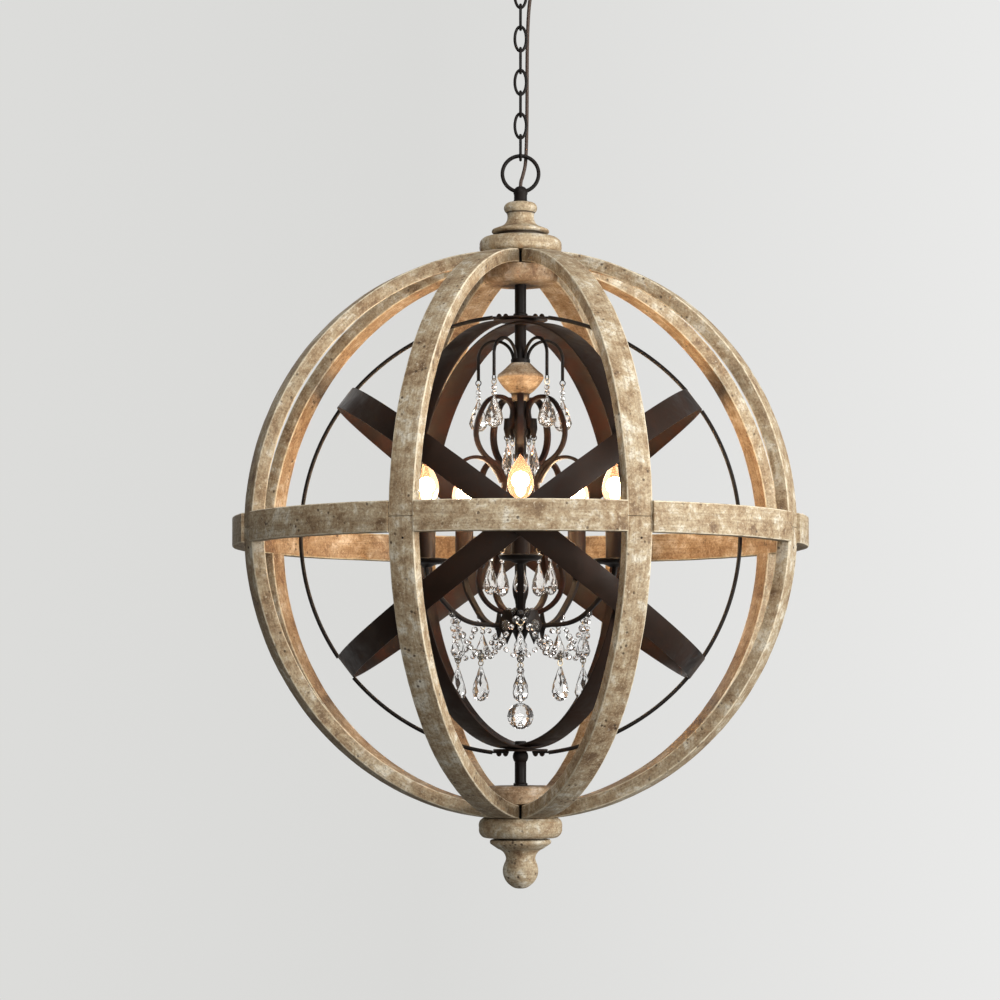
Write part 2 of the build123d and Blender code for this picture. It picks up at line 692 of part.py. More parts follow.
def make_swags():
    """From every lower eye, strings of beads rise to the arms on either side and to the leaf on the hub."""
    beads = []
    arm_end = arm_underside(0.6)
    leaf_end = (LEAF_PLATE_R + 3.2, 0, -124)
    dip_z = LOWER_DROP_Z + 2 * EYE_R
    for k in range(LIGHT_COUNT):
        turn = turn_to(k * LIGHT_STEP)
        for side in (-0.5, 0.5):
            dip_turn = radians(side * LIGHT_STEP)
            dip = (LOWER_DROP_R * cos(dip_turn), LOWER_DROP_R * sin(dip_turn), dip_z)
            beads += [turn * b for b in beads_between(swag_points(arm_end, dip, 8, 6), 4.2)]
        turn = turn_to((k + 0.5) * LIGHT_STEP)
        beads += [turn * b for b in beads_between(swag_points(leaf_end, (LOWER_DROP_R, 0, dip_z), 9, 5), 4.2)]
        beads.append(turn * small_eye(Pos(LOWER_DROP_R, 0, LOWER_DROP_Z + EYE_R)))
    write("crystal_swags", at_orb(Compound(children=[s for b in beads for s in b.solids()])))


make_canopy()
make_crossbar()
make_canopy_loop()
make_chain()
make_supply_cord()
make_hanging_loop()
make_top_cap()
make_inner_discs()
make_wood_hoops()
make_equator_hoop()
make_bottom_finial()
make_meridian_bands()
make_slanted_bands()
make_wire_ring()
make_pole_plates()
make_stem()
make_lower_stem()
make_vase()
make_hub()
make_straps()
make_arms()
make_sleeves()
make_bulbs()
make_hanger()
make_drops()
make_ball_drop()
make_swags()
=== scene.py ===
import json
from math import asin, atan2, cos, pi, radians, sin, sqrt, tan

import bmesh
import bpy
from mathutils import Matrix, Vector, noise

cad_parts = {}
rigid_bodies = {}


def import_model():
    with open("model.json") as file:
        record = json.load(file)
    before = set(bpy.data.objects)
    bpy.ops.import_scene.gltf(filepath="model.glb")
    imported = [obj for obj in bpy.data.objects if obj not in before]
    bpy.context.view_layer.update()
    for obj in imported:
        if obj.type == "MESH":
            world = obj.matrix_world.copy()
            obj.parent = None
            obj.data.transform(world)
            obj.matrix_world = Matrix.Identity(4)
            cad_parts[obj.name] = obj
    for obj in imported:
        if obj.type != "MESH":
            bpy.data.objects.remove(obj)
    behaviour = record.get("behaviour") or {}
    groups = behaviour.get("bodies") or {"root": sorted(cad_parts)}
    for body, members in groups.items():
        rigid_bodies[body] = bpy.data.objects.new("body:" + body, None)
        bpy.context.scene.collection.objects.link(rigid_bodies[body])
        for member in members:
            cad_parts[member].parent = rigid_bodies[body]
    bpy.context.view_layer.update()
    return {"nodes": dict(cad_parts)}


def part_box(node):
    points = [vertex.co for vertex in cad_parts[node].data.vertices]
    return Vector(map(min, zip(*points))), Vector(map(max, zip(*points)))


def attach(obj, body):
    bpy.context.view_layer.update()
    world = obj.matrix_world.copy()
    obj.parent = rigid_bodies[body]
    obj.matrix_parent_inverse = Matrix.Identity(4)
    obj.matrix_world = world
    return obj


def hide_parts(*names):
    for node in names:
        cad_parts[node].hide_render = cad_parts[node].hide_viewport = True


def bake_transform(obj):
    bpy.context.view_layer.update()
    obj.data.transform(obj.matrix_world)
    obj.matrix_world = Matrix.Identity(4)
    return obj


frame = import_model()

bl_info = {
    "name": "Orb Chandelier",
    "version": (1, 0, 0),
    "blender": (4, 5, 0),
    "location": "3D View > Sidebar > Orb Chandelier",
    "description": "Builds a hanging wooden orb with an iron cage, candle lights and cut crystals",
    "category": "Object",
}

MM = 0.001
EQUATOR_LOW, EQUATOR_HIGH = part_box("equator_hoop")
ORB_Z = (EQUATOR_LOW.z + EQUATOR_HIGH.z) / 2 / MM  # height of the orb's centre, in millimetres
ORB = Matrix.Translation((0, 0, ORB_Z))
CEILING = Matrix.Identity(4)

HOOPS = 8
LIGHTS = 5
LINKS = 8
LIGHT_STEP = 360 / LIGHTS
LIGHT_R = 119.0
DISH_Z = -36.0
SLEEVE_TOP = 33.0
CAP_TOP = 404.5
INNER_DISC_FACE = 304.0
LAP_RADIUS = 337.0
CANOPY_DROP = 26.0
CANOPY_LOOP_Z = -44.0
RING_Z = 440.4
UPPER_DROP = (54.0, 182.0)  # how far out each tier of crystals hangs, and the height of its pivots
LEAF_DROP = (17.0, 113.0)
INNER_DROP = (38.0, -16.0)
ARM_DROP = (79.0, -108.5)
LOWER_DROP = (80.0, -156.0)
BALL_HOOK_Z = -152.0
LEAF_PLATE_R = 27.0
EYE_R = 3.4
EYE_WIRE = 0.6
EYE_SLACK = 1.0  # the gap between the wires of two linked eyes
LOWER_EYE = EYE_WIRE + EYE_SLACK + EYE_WIRE - EYE_R  # the lower eye's centre, from the pivot
SLANT = 37.5  # degrees by which the slanted bands leave the level
RING_WIRE_R = 266.0
GRAIN = "grain"  # the names of the coordinates and the attribute that the finishes read
WEAR_AND_SHADE = "wear"


# ---- shapes ----------------------------------------------------------------------------------------------
def turn_to(azimuth):
    """A turn that carries +X to an azimuth, counted from the front towards the right."""
    return Matrix.Rotation(radians(azimuth - 90), 4, "Z")


def moved(x, y, z):
    return Matrix.Translation((x, y, z))


def rotated(v, angle):
    return Vector((v.x * cos(angle) - v.y * sin(angle), v.x * sin(angle) + v.y * cos(angle)))


def flowing(start, heading, *points, steps=8):
    """Places along a smooth line. Each arc leaves in the direction in which the last one came in."""
    here, heading = Vector(start), Vector(heading).normalized()
    line = [here]
    for point in points:
        chord = Vector(point) - here
        half = atan2(heading.x * chord.y - heading.y * chord.x, heading.dot(chord))
        for k in range(1, steps + 1):
            t = k / steps
            reach = chord.length * (sin(half * t) / sin(half) if abs(half) > 1e-5 else t)
            line.append(here + rotated(heading, half * t) * reach)
        heading = rotated(heading, 2 * half)
        here = Vector(point)
    return line


def arc_through(start, middle, end, steps):
    """Places on the round stretch from start through middle to end, without start."""
    a, b, c = Vector(start), Vector(middle), Vector(end)
    d = 2 * (a.x * (b.y - c.y) + b.x * (c.y - a.y) + c.x * (a.y - b.y))
    centre = Vector((
        (a.length_squared * (b.y - c.y) + b.length_squared * (c.y - a.y) + c.length_squared * (a.y - b.y)) / d,
        (a.length_squared * (c.x - b.x) + b.length_squared * (a.x - c.x) + c.length_squared * (b.x - a.x)) / d,
    ))
    spoke, last, mid = a - centre, c - centre, b - centre
    sweep = atan2(spoke.x * last.y - spoke.y * last.x, spoke.dot(last))
    part = atan2(spoke.x * mid.y - spoke.y * mid.x, spoke.dot(mid))
    if part * sweep < 0 or abs(part) > abs(sweep):
        sweep -= 2 * pi * (1 if sweep > 0 else -1)
    return [centre + rotated(spoke, sweep * k / steps) for k in range(1, steps + 1)]


def outline(start, *steps, fine=10):
    """The profile of a turned piece as (r, z). A pair of points is an arc through the first to the second."""
    line = [Vector(start)]
    for step in steps:
        if isinstance(step[0], tuple):
            line += arc_through(line[-1], *step, fine)
        else:
            line.append(Vector(step))
    return line


def groove_shade(line):
    """Minus one at the sharp inward corners of a closed profile, which the wood darkens as painted shade, and
    zero elsewhere.
    """
    count = len(line)
    area = sum(a.x * b.y - b.x * a.y for a, b in zip(line, line[1:] + line[:1]))
    marks = []
    for k, here in enumerate(line):
        into, out = here - line[k - 1], line[(k + 1) % count] - here
        bend = atan2(into.x * out.y - into.y * out.x, into.dot(out)) * (1 if area > 0 else -1)
        marks.append(-1.0 if bend < -radians(25) else 0.0)
    return marks


def circle(radius, count, centre=(0, 0)):
    return [Vector((centre[0] + radius * sin(2 * pi * k / count), centre[1] - radius * cos(2 * pi * k / count)))
            for k in range(count)]


def round_section(radius, sides=12):
    return [(radius * cos(2 * pi * (k + 0.5) / sides), radius * sin(2 * pi * (k + 0.5) / sides))
            for k in range(sides)]


def corner_points(steps=3):
    """The corner, as two signs, and the angle of each point round a bar's four rounded corners."""
    corners = ((1, 1, 0), (-1, 1, 90), (-1, -1, 180), (1, -1, 270))
    return [(su, sv, radians(first + 90 * k / steps)) for su, sv, first in corners for k in range(steps + 1)]


def bar_section(thick, width, corner, steps=3):
    """A flat bar's section with rounded corners, as (in the plane, across it)."""
    return [(su * (thick / 2 - corner) + corner * cos(a), sv * (width / 2 - corner) + corner * sin(a))
            for su, sv, a in corner_points(steps)]


def linked(name, data):
    """A new object in the scene."""
    obj = bpy.data.objects.new(name, data)
    bpy.context.scene.collection.objects.link(obj)
    return obj


def finished_mesh(obj):
    """What an object looks like with its modifiers, as a plain mesh."""
    bpy.context.view_layer.update()
    return bpy.data.meshes.new_from_object(obj.evaluated_get(bpy.context.evaluated_depsgraph_get()))


class Form:
    """One piece's faces in millimetres, with a grain coordinate at each corner, and at each point edge wear,
    which is minus one where painted shade darkens a groove.
    """

    def __init__(self):
        self.places, self.faces, self.grain, self.wear, self.slots = [], [], [], [], []

    def lofted(self, rows, turn=CEILING, closed=False, wear=None, slot=0):
        """Skins a list of equal rings. u of the grain runs along the rings' line and v round each ring."""
        rows = [[Vector(p) for p in row] for row in rows]
        base, sides, steps = len(self.places), len(rows[0]), len(rows) - 1 + closed
        for row in rows:
            self.places += [turn @ p for p in row]
            self.wear += wear or [0.0] * sides
        centres = [sum(row, Vector()) / sides for row in rows]
        along = [0.0]
        for k in range(steps):
            n = (k + 1) % len(rows)
            mean = sum((a - b).length for a, b in zip(rows[k], rows[n])) / sides
            along.append(along[-1] + max((centres[n] - centres[k]).length, mean))
        widest = max(rows, key=lambda row: sum((a - b).length for a, b in zip(row, row[1:])))
        across = [0.0]
        for k in range(sides):
            across.append(across[-1] + (widest[k] - widest[(k + 1) % sides]).length)
        for k in range(steps):
            a, b = base + k * sides, base + (k + 1) % len(rows) * sides
            for j in range(sides):
                n = (j + 1) % sides
                self.faces.append((a + j, a + n, b + n, b + j))
                self.grain += [(along[k], across[j]), (along[k], across[j + 1]),
                               (along[k + 1], across[j + 1]), (along[k + 1], across[j])]
                self.slots.append(slot)
        if not closed:
            for at in (base, base + (len(rows) - 1) * sides):
                self.faces.append(tuple(range(at, at + sides)))
                self.grain += [(p.x, p.y) for p in rows[0]]
                self.slots.append(slot)
        return self

    def flat_bar(self, rows, turn=CEILING, closed=False, wear=None):
        """Skins a bar made of corner_points. The side that faces the middle has the second look."""
        first, sides = len(self.faces), len(rows[0])
        self.lofted(rows, turn, closed, wear)
        for k in range(first + sides // 2 - 1, len(self.faces), sides):
            self.slots[k] = 1

    def swept(self, line, section, turn=CEILING, closed=False, sizes=None, slot=0):
        """A bar or wire along places in the XZ plane. sizes scales the section at each place."""
        count, rows = len(line), []
        for k, here in enumerate(line):
            before = line[(k - 1) % count] if closed or k > 0 else here
            after = line[(k + 1) % count] if closed or k < count - 1 else here
            run = (after - before).normalized()
            size = sizes[k] if sizes else 1
            rows.append([(here.x + run.y * u * size, v * size, here.y - run.x * u * size) for u, v in section])
        return self.lofted(rows, turn, closed, slot=slot)

    def turned(self, line, turn=CEILING, sides=72, slot=0):
        """A piece turned on the vertical axis. The profile closes on itself, or starts and ends on the axis."""
        rows = [[(r * cos(2 * pi * k / sides), r * sin(2 * pi * k / sides), z) for r, z in line]
                for k in range(sides)]
        # the profile's inward corners are marked for painted shade in the wood's finish
        return self.lofted(rows, turn, closed=True, wear=groove_shade(line), slot=slot)

    def cut(self, rings, sides, turn=CEILING):
        """A faceted crystal. rings are (r, z) upwards, each turned half a side on; r = 0 is a point."""
        first, starts, facets = len(self.places), [], []
        for n, (r, z) in enumerate(rings):
            starts.append(len(self.places))
            for k in range(sides if r > 0 else 1):
                a = 2 * pi * (k + n % 2 / 2) / sides
                self.places.append(turn @ Vector((r * cos(a), r * sin(a), z)))
        for n in range(len(rings) - 1):
            low, high = starts[n], starts[n + 1]
            for k in range(sides):
                j = (k + 1) % sides
                if rings[n][0] == 0:
                    facets.append((low, high + j, high + k))
                elif rings[n + 1][0] == 0:
                    facets.append((low + k, low + j, high))
                elif n % 2 == 0:
                    facets += [(low + k, low + j, high + k), (low + j, high + j, high + k)]
                else:
                    facets += [(low + k, low + j, high + j), (low + k, high + j, high + k)]
        for n in (0, -1):
            if rings[n][0] > 0:
                facets.append(tuple(range(starts[n], starts[n] + sides)))
        self.wear += [0.0] * (len(self.places) - first)
        self.faces += facets
        self.grain += [(0.0, 0.0)] * sum(len(facet) for facet in facets)
        self.slots += [0] * len(facets)
        return self

    def bent(self, shift):
        """Moves every place by a rule."""
        self.places = [p + shift(p) for p in self.places]
        return self

    def made(self, name, looks, place=ORB, smooth=35):
        """The finished object, with normals outward and edges sharper than the angle kept."""
        mesh = bpy.data.meshes.new(name)
        mesh.from_pydata([(place @ p) * MM for p in self.places], [], self.faces)
        mesh.uv_layers.new(name=GRAIN).data.foreach_set("uv", [c for pair in self.grain for c in pair])
        mesh.attributes.new(WEAR_AND_SHADE, "FLOAT", "POINT").data.foreach_set("value", self.wear)
        for look in looks:
            mesh.materials.append(look)
        mesh.polygons.foreach_set("material_index", self.slots)
        shape = bmesh.new()
        shape.from_mesh(mesh)
        bmesh.ops.remove_doubles(shape, verts=shape.verts, dist=1e-7)
        bmesh.ops.recalc_face_normals(shape, faces=shape.faces)
        shape.to_mesh(mesh)
        shape.free()
        mesh.polygons.foreach_set("use_smooth", [smooth > 0] * len(mesh.polygons))
        mesh.set_sharp_from_angle(angle=radians(max(smooth, 1)))
        return linked(name, mesh)


def softened(obj, width):
    """Eases the sharp edges of a piece."""
    bevel = obj.modifiers.new("eased edges", "BEVEL")
    bevel.width = width * MM
    bevel.segments = 2
    bevel.limit_method = "ANGLE"
    bevel.angle_limit = radians(40)
    bevel.harden_normals = True
    return obj


def fitted(obj, body, slot, *nodes):
    """Hands a finished piece to its body and hides the nodes it stands for. The finish given as slot is not
    used.
    """
    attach(obj, body)
    if nodes:
        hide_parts(*nodes)


def seat_mesh(name, seats):
    """A mesh for bolt_tree. Each seat is three close places and 1, or -1 to turn the head the other way."""
    shape = bmesh.new()
    for places, way in seats:
        shape.faces.new([shape.verts.new(place * MM) for place in places][::way])
    mesh = bpy.data.meshes.new(name)
    shape.to_mesh(mesh)
    shape.free()
    return mesh


# ---- looks -----------------------------------------------------------------------------------------------
class Wiring:
    """A node tree that is being wired up."""

    def add(self, kind, values=None, **settings):
        """A new node. A value is another node's output, or what the input holds by itself."""
        node = self.tree.nodes.new(kind)
        for key, value in settings.items():
            setattr(node, key, value)
        for key, value in (values or {}).items():
            if isinstance(value, bpy.types.NodeSocket):
                self.tree.links.new(value, node.inputs[key])
            else:
                node.inputs[key].default_value = value
        return node

    def math(self, operation, a, b):
        return self.add("ShaderNodeMath", {0: a, 1: b}, operation=operation).outputs[0]

    def plus(self, a, b):
        return self.math("ADD", a, b)

    def times(self, a, b):
        return self.math("MULTIPLY", a, b)


class Look(Wiring):
    """A material, or the studio's surroundings."""

    def __init__(self, name, store=None):
        self.material = (bpy.data.materials if store is None else store).new(name)
        self.material.use_nodes = True
        self.tree = self.material.node_tree
        self.tree.nodes.clear()

    def coordinates(self):
        return self.add("ShaderNodeTexCoord").outputs["Object"]

    def noise(self, vector, scale, detail=4, rough=0.55, distortion=0.0):
        return self.add("ShaderNodeTexNoise", {"Vector": vector, "Scale": scale, "Detail": detail,
                                               "Roughness": rough, "Distortion": distortion}).outputs["Fac"]

    def along_grain(self):
        return self.add("ShaderNodeUVMap", uv_map=GRAIN).outputs[0]

    def rise(self, value, low, high):
        """Goes from 0 to 1 while the value goes from low to high."""
        return self.add("ShaderNodeMapRange", {"Value": value, "From Min": low, "From Max": high}).outputs[0]

    def ramp(self, value, *stops):
        node = self.add("ShaderNodeValToRGB", {"Fac": value})
        band = node.color_ramp
        while len(band.elements) < len(stops):
            band.elements.new(0.5)
        for element, (at, colour) in zip(band.elements, stops):
            element.position = at
            element.color = colour if isinstance(colour, tuple) else (colour, colour, colour, 1)
        return node.outputs["Color"]

    def mixed(self, factor, a, b, blend="MIX"):
        return self.add("ShaderNodeMix", {0: factor, 6: a, 7: b}, data_type="RGBA", blend_type=blend).outputs[2]

    def patched(self, base, pattern, low, high, colour):
        """Covers the base with a colour by a pattern. low and high are each (value of the pattern, cover)."""
        return self.mixed(self.ramp(pattern, low, high), base, colour)

    def between(self, factor, a, b):
        """A number that goes from a to b with the factor."""
        return self.add("ShaderNodeMix", {0: factor, 2: a, 3: b}, data_type="FLOAT").outputs[0]

    def bump(self, height, strength, depth):
        return self.add("ShaderNodeBump",
                        {"Height": height, "Strength": strength, "Distance": depth * MM}).outputs[0]

    def surface(self, values):
        shader = self.add("ShaderNodeBsdfPrincipled", values)
        self.add("ShaderNodeOutputMaterial", {"Surface": shader.outputs[0]})
        return self.material


def tone(r, g, b):
    """A colour as it looks on screen, 0 to 255, as the shader wants it."""
    linear = [((c / 255 + 0.055) / 1.055) ** 2.4 if c > 10 else c / 255 / 12.92 for c in (r, g, b)]
    return (*linear, 1.0)


def opaque(colour):
    return (*colour, 1)


def weathered_wood(name, colours, warm=0.0):
    """Limed hardwood: pale paint rubbed through to brown, with pits, grain streaks, rubbed edges and painted
    shade in the grooves; warm gives a copy painted warm shade.
    """
    look = Look(name)
    where = look.coordinates()
    grain = look.along_grain()
    mottle = look.noise(where, 62, 9, 0.68, 0.4)
    cloud = look.noise(where, 17, 4, 0.6)
    stretched = look.add("ShaderNodeMapping", {"Vector": grain, "Scale": (0.012, 0.32, 1.0)}).outputs["Vector"]
    streak = look.noise(stretched, 1.0, 6, 0.7, 0.6)
    fleck = look.noise(where, 210, 5, 0.75)
    base = look.ramp(look.plus(look.times(mottle, 0.62), look.times(cloud, 0.38)),
                     (0.36, opaque(colours.wood_deep)), (0.445, opaque(colours.wood_mid)),
                     (0.53, opaque(colours.wood_pale)), (0.60, tone(220, 213, 196)))
    base = look.patched(base, streak, (0.44, 0.0), (0.62, 0.45), tone(116, 92, 66))
    base = look.patched(base, fleck, (0.60, 0.0), (0.70, 0.75), tone(222, 214, 195))
    grit = look.noise(where, 420, 3, 0.6)
    base = look.patched(base, grit, (0.34, 0.5), (0.48, 0.0), tone(96, 76, 56))
    base = look.patched(base, grit, (0.56, 0.0), (0.68, 0.4), tone(208, 195, 166))
    cells = look.add("ShaderNodeTexVoronoi", {"Vector": where, "Scale": 120, "Randomness": 1.0})
    pits = cells.outputs["Distance"]
    sparse = look.noise(where, 35, 2, 0.5)
    hole = look.times(look.ramp(pits, (0.12, 1.0), (0.26, 0.0)), look.ramp(sparse, (0.52, 0.0), (0.6, 1.0)))
    base = look.mixed(look.times(hole, 0.8), base, tone(62, 46, 33))
    # the point attribute: rubbed wear up to one at bar corners, and minus one at grooves for painted shade
    edge = look.add("ShaderNodeAttribute", attribute_name=WEAR_AND_SHADE).outputs["Fac"]
    rubbed = look.times(look.ramp(edge, (0.5, 0.0), (0.8, 1.0)),
                        look.ramp(look.noise(where, 90, 5, 0.7), (0.36, 0.1), (0.55, 1.0)))
    base = look.mixed(look.times(rubbed, 0.75), base, tone(232, 220, 194))
    # painted shade: grooves marked minus one are darkened to a near black brown
    base = look.patched(base, look.times(edge, -1.0), (0.15, 0.0), (0.8, 0.9), tone(44, 32, 23))
    # painted warm shade: the copy for faces towards the middle is darkened and warmed, as by shade and the
    # candles' glow
    if warm:
        base = look.mixed(warm, base, tone(190, 138, 92), "MULTIPLY")
    height = look.plus(look.times(mottle, 0.6), look.times(hole, -0.8))
    height = look.plus(height, look.times(streak, 0.5))
    return look.surface({"Base Color": base, "Roughness": look.ramp(mottle, (0.4, 0.7), (0.6, 0.92)),
                         "Normal": look.bump(height, 0.7, 1.2)})


def forged_iron(name, main, rust, amount, sheen):
    """Blackened iron, browned with thin rust in patches."""
    look = Look(name)
    where = look.coordinates()
    patch = look.noise(where, 26, 7, 0.66, 0.5)
    fine = look.noise(where, 240, 4, 0.6)
    base = look.mixed(look.times(look.ramp(patch, (0.44, 0.0), (0.66, 1.0)), amount), main, rust)
    base = look.patched(base, fine, (0.62, 0.0), (0.74, 0.3), tone(58, 40, 30))
    return look.surface({"Base Color": base, "Metallic": 0.1, "Specular IOR Level": sheen,
                         "Roughness": look.ramp(patch, (0.38, 0.46), (0.62, 0.7)),
                         "Normal": look.bump(look.plus(patch, look.times(fine, 0.35)), 0.35, 0.6)})


def brass_wire():
    look = Look("crystal pins")
    rough = look.ramp(look.noise(look.coordinates(), 400, 3), (0.3, 0.25), (0.7, 0.4))
    return look.surface({"Base Color": tone(176, 160, 132), "Metallic": 1.0, "Roughness": rough})


def cut_crystal():
    look = Look("cut crystal")
    haze = look.ramp(look.noise(look.coordinates(), 300, 2), (0.4, 0.0), (0.8, 0.03))
    return look.surface({"Base Color": (1, 1, 1, 1), "Transmission Weight": 0.95, "IOR": 1.5,
                         "Roughness": haze})


def bulb_glass(colours):
    look = Look("bulb glass")
    height = look.add("ShaderNodeSeparateXYZ", {"Vector": look.coordinates()}).outputs["Z"]
    low = (ORB_Z + SLEEVE_TOP) * MM
    glow = look.ramp(look.rise(height, low, low + 62 * MM), (0.0, tone(206, 116, 66)),
                     (0.3, opaque(colours.glow)), (0.55, tone(228, 140, 98)), (0.8, tone(128, 70, 38)),
                     (1.0, tone(84, 46, 26)))
    return look.surface({"Base Color": tone(255, 220, 198), "Transmission Weight": 0.94, "IOR": 1.1,
                         "Roughness": 0.1, "Emission Color": glow, "Emission Strength": 0.22})


def bulb_flame():
    look = Look("glowing filament")
    flicker = look.ramp(look.noise(look.coordinates(), 90, 2),
                        (0.3, tone(255, 240, 218)), (0.7, tone(255, 246, 230)))
    return look.surface({"Base Color": tone(255, 240, 215), "Emission Color": flicker,
                         "Emission Strength": 3.5})


def cord_cover():
    look = Look("brown cord")
    twist = look.add("ShaderNodeTexWave",
                     {"Vector": look.along_grain(), "Scale": 0.3, "Distortion": 0.4}).outputs["Fac"]
    base = look.ramp(twist, (0.2, tone(46, 32, 25)), (0.8, tone(74, 52, 38)))
    return look.surface({"Base Color": base, "Roughness": 0.55, "Normal": look.bump(twist, 0.3, 0.3)})


LOOKS = {}


def look_of(name):
    """The shared finish of that name, made the first time it is asked for."""
    colours = bpy.context.scene.orb_colours
    if name not in LOOKS:
        LOOKS[name] = {
            "wood": lambda: weathered_wood("limed wood", colours),
            # the copy for faces towards the middle and the inner turnings, with painted warm shade
            "wood, painted warm shade": lambda: weathered_wood("limed wood, painted warm shade", colours, 0.35),
            "iron": lambda: forged_iron("blackened iron", opaque(colours.iron), tone(52, 29, 18), 0.4, 0.22),
            "rusted": lambda: forged_iron("rusted iron", tone(22, 12, 8), tone(42, 18, 10), 0.8, 0.18),
            "wire": lambda: forged_iron("black iron wire", tone(18, 13, 11), tone(38, 24, 17), 0.3, 0.25),
            "pins": brass_wire,
            "crystal": cut_crystal,
            "bulb": lambda: bulb_glass(colours),
            "flame": bulb_flame,
            "cord": cord_cover,
        }[name]()
    return LOOKS[name]


# ---- node trees ------------------------------------------------------------------------------------------
class Tree(Wiring):
    """A geometry tree with named inputs."""

    def __init__(self, name):
        self.tree = bpy.data.node_groups.new(name, "GeometryNodeTree")
        self.tree.interface.new_socket("Geometry", in_out="INPUT", socket_type="NodeSocketGeometry")
        self.tree.interface.new_socket("Geometry", in_out="OUTPUT", socket_type="NodeSocketGeometry")
        self.group = self.tree.nodes.new("NodeGroupInput")
        self.ids = {}

    def input(self, name, kind, default=None):
        socket = self.tree.interface.new_socket(name, in_out="INPUT", socket_type="NodeSocket" + kind)
        if default is not None:
            socket.default_value = default
        self.ids[name] = socket.identifier
        return self.group.outputs[name]

    def vector(self, x=0.0, y=0.0, z=0.0):
        return self.add("ShaderNodeCombineXYZ", {"X": x, "Y": y, "Z": z}).outputs[0]

    def ends_in(self, geometry, material):
        whole = self.add("GeometryNodeRealizeInstances", {"Geometry": geometry})
        coated = self.add("GeometryNodeSetMaterial", {"Geometry": whole.outputs[0], "Material": material})
        self.add("NodeGroupOutput", {"Geometry": coated.outputs[0]})

    def facing(self, direction):
        """A turn that points an instance's Z in a direction."""
        return self.add("FunctionNodeAlignRotationToVector", {"Vector": direction}, axis="Z").outputs[0]

    def grown(self, name, values, mesh=None, smooth=False):
        """Runs the tree on an object and keeps the result as a plain mesh."""
        obj = linked(name, mesh or bpy.data.meshes.new(name))
        modifier = obj.modifiers.new(name, "NODES")
        modifier.node_group = self.tree
        for key, value in values.items():
            modifier[self.ids[key]] = value
        result = finished_mesh(obj)
        obj.modifiers.clear()
        obj.data = result
        if smooth:
            result.polygons.foreach_set("use_smooth", [True] * len(result.polygons))
        return obj


def chain_tree():
    """Links along a vertical line, each turned a quarter on from the last."""
    t = Tree("chain links")
    length = t.input("Link length", "Float", 0.034)
    breadth = t.input("Link breadth", "Float", 0.0175)
    wire = t.input("Wire radius", "Float", 0.00175)
    count = t.input("Links", "Int", 8)
    pitch = t.input("Pitch", "Float", 0.0269)
    top = t.input("Top link height", "Float", 0.0)
    material = t.input("Material", "Material")
    across = t.math("SUBTRACT", breadth, t.times(wire, 2.0))
    tall = t.math("SUBTRACT", length, t.times(wire, 2.0))
    ring = t.add("GeometryNodeCurvePrimitiveCircle", {"Resolution": 48, "Radius": 0.5})
    oval = t.add("GeometryNodeTransform", {"Geometry": ring.outputs[0], "Scale": t.vector(across, tall, 1.0)})
    section = t.add("GeometryNodeCurvePrimitiveCircle", {"Resolution": 14, "Radius": wire})
    link = t.add("GeometryNodeCurveToMesh", {"Curve": oval.outputs[0], "Profile Curve": section.outputs[0]})
    places = t.add("GeometryNodeMeshLine", {"Count": count, "Start Location": t.vector(z=top),
                                            "Offset": t.vector(z=t.times(pitch, -1.0))})
    index = t.add("GeometryNodeInputIndex").outputs[0]
    quarter = t.times(t.math("MODULO", index, 2.0), pi / 2)
    strung = t.add("GeometryNodeInstanceOnPoints", {"Points": places.outputs[0], "Instance": link.outputs[0],
                                                    "Rotation": t.vector(pi / 2, 0.0, quarter)})
    t.ends_in(strung.outputs[0], material)
    return t


def bead_tree():
    """Faceted beads strung along the edges of a mesh, every third one larger."""
    t = Tree("strung beads")
    spacing = t.input("Spacing", "Float", 0.009)
    size = t.input("Bead radius", "Float", 0.0038)
    bigger = t.input("Large bead scale", "Float", 1.5)
    material = t.input("Material", "Material")
    line = t.add("GeometryNodeMeshToCurve", {"Mesh": t.group.outputs["Geometry"]})
    spaced = t.add("GeometryNodeResampleCurve", {"Curve": line.outputs[0], "Length": spacing}, mode="LENGTH")
    bead = t.add("GeometryNodeMeshUVSphere", {"Segments": 8, "Rings": 5, "Radius": size})
    slim = t.add("GeometryNodeTransform", {"Geometry": bead.outputs[0], "Scale": (1.0, 1.0, 1.1)})
    lined = t.facing(t.add("GeometryNodeInputTangent").outputs[0])
    place = t.math("MODULO", t.add("GeometryNodeInputIndex").outputs[0], 3.0)
    third = t.add("ShaderNodeMath", {0: place, 1: 1.0, 2: 0.1}, operation="COMPARE").outputs[0]
    scale = t.plus(t.times(third, t.math("SUBTRACT", bigger, 1.0)), 1.0)
    strung = t.add("GeometryNodeInstanceOnPoints", {"Points": spaced.outputs[0], "Instance": slim.outputs[0],
                                                    "Rotation": lined, "Scale": t.vector(scale, scale, scale)})
    t.ends_in(strung.outputs[0], material)
    return t


def bolt_tree():
    """Domed heads on a mesh's points, rising along its normals."""
    t = Tree("bolt heads")
    size = t.input("Head radius", "Float", 0.0034)
    height = t.input("Head height", "Float", 0.004)
    material = t.input("Material", "Material")
    ball = t.add("GeometryNodeMeshUVSphere", {"Segments": 18, "Rings": 12, "Radius": 1.0})
    head = t.add("GeometryNodeTransform", {"Geometry": ball.outputs[0], "Scale": t.vector(size, size, height)})
    lined = t.facing(t.add("GeometryNodeInputNormal").outputs[0])
    placed = t.add("GeometryNodeInstanceOnPoints", {"Points": t.group.outputs["Geometry"],
                                                    "Instance": head.outputs[0], "Rotation": lined})
    t.ends_in(placed.outputs[0], material)
    return t


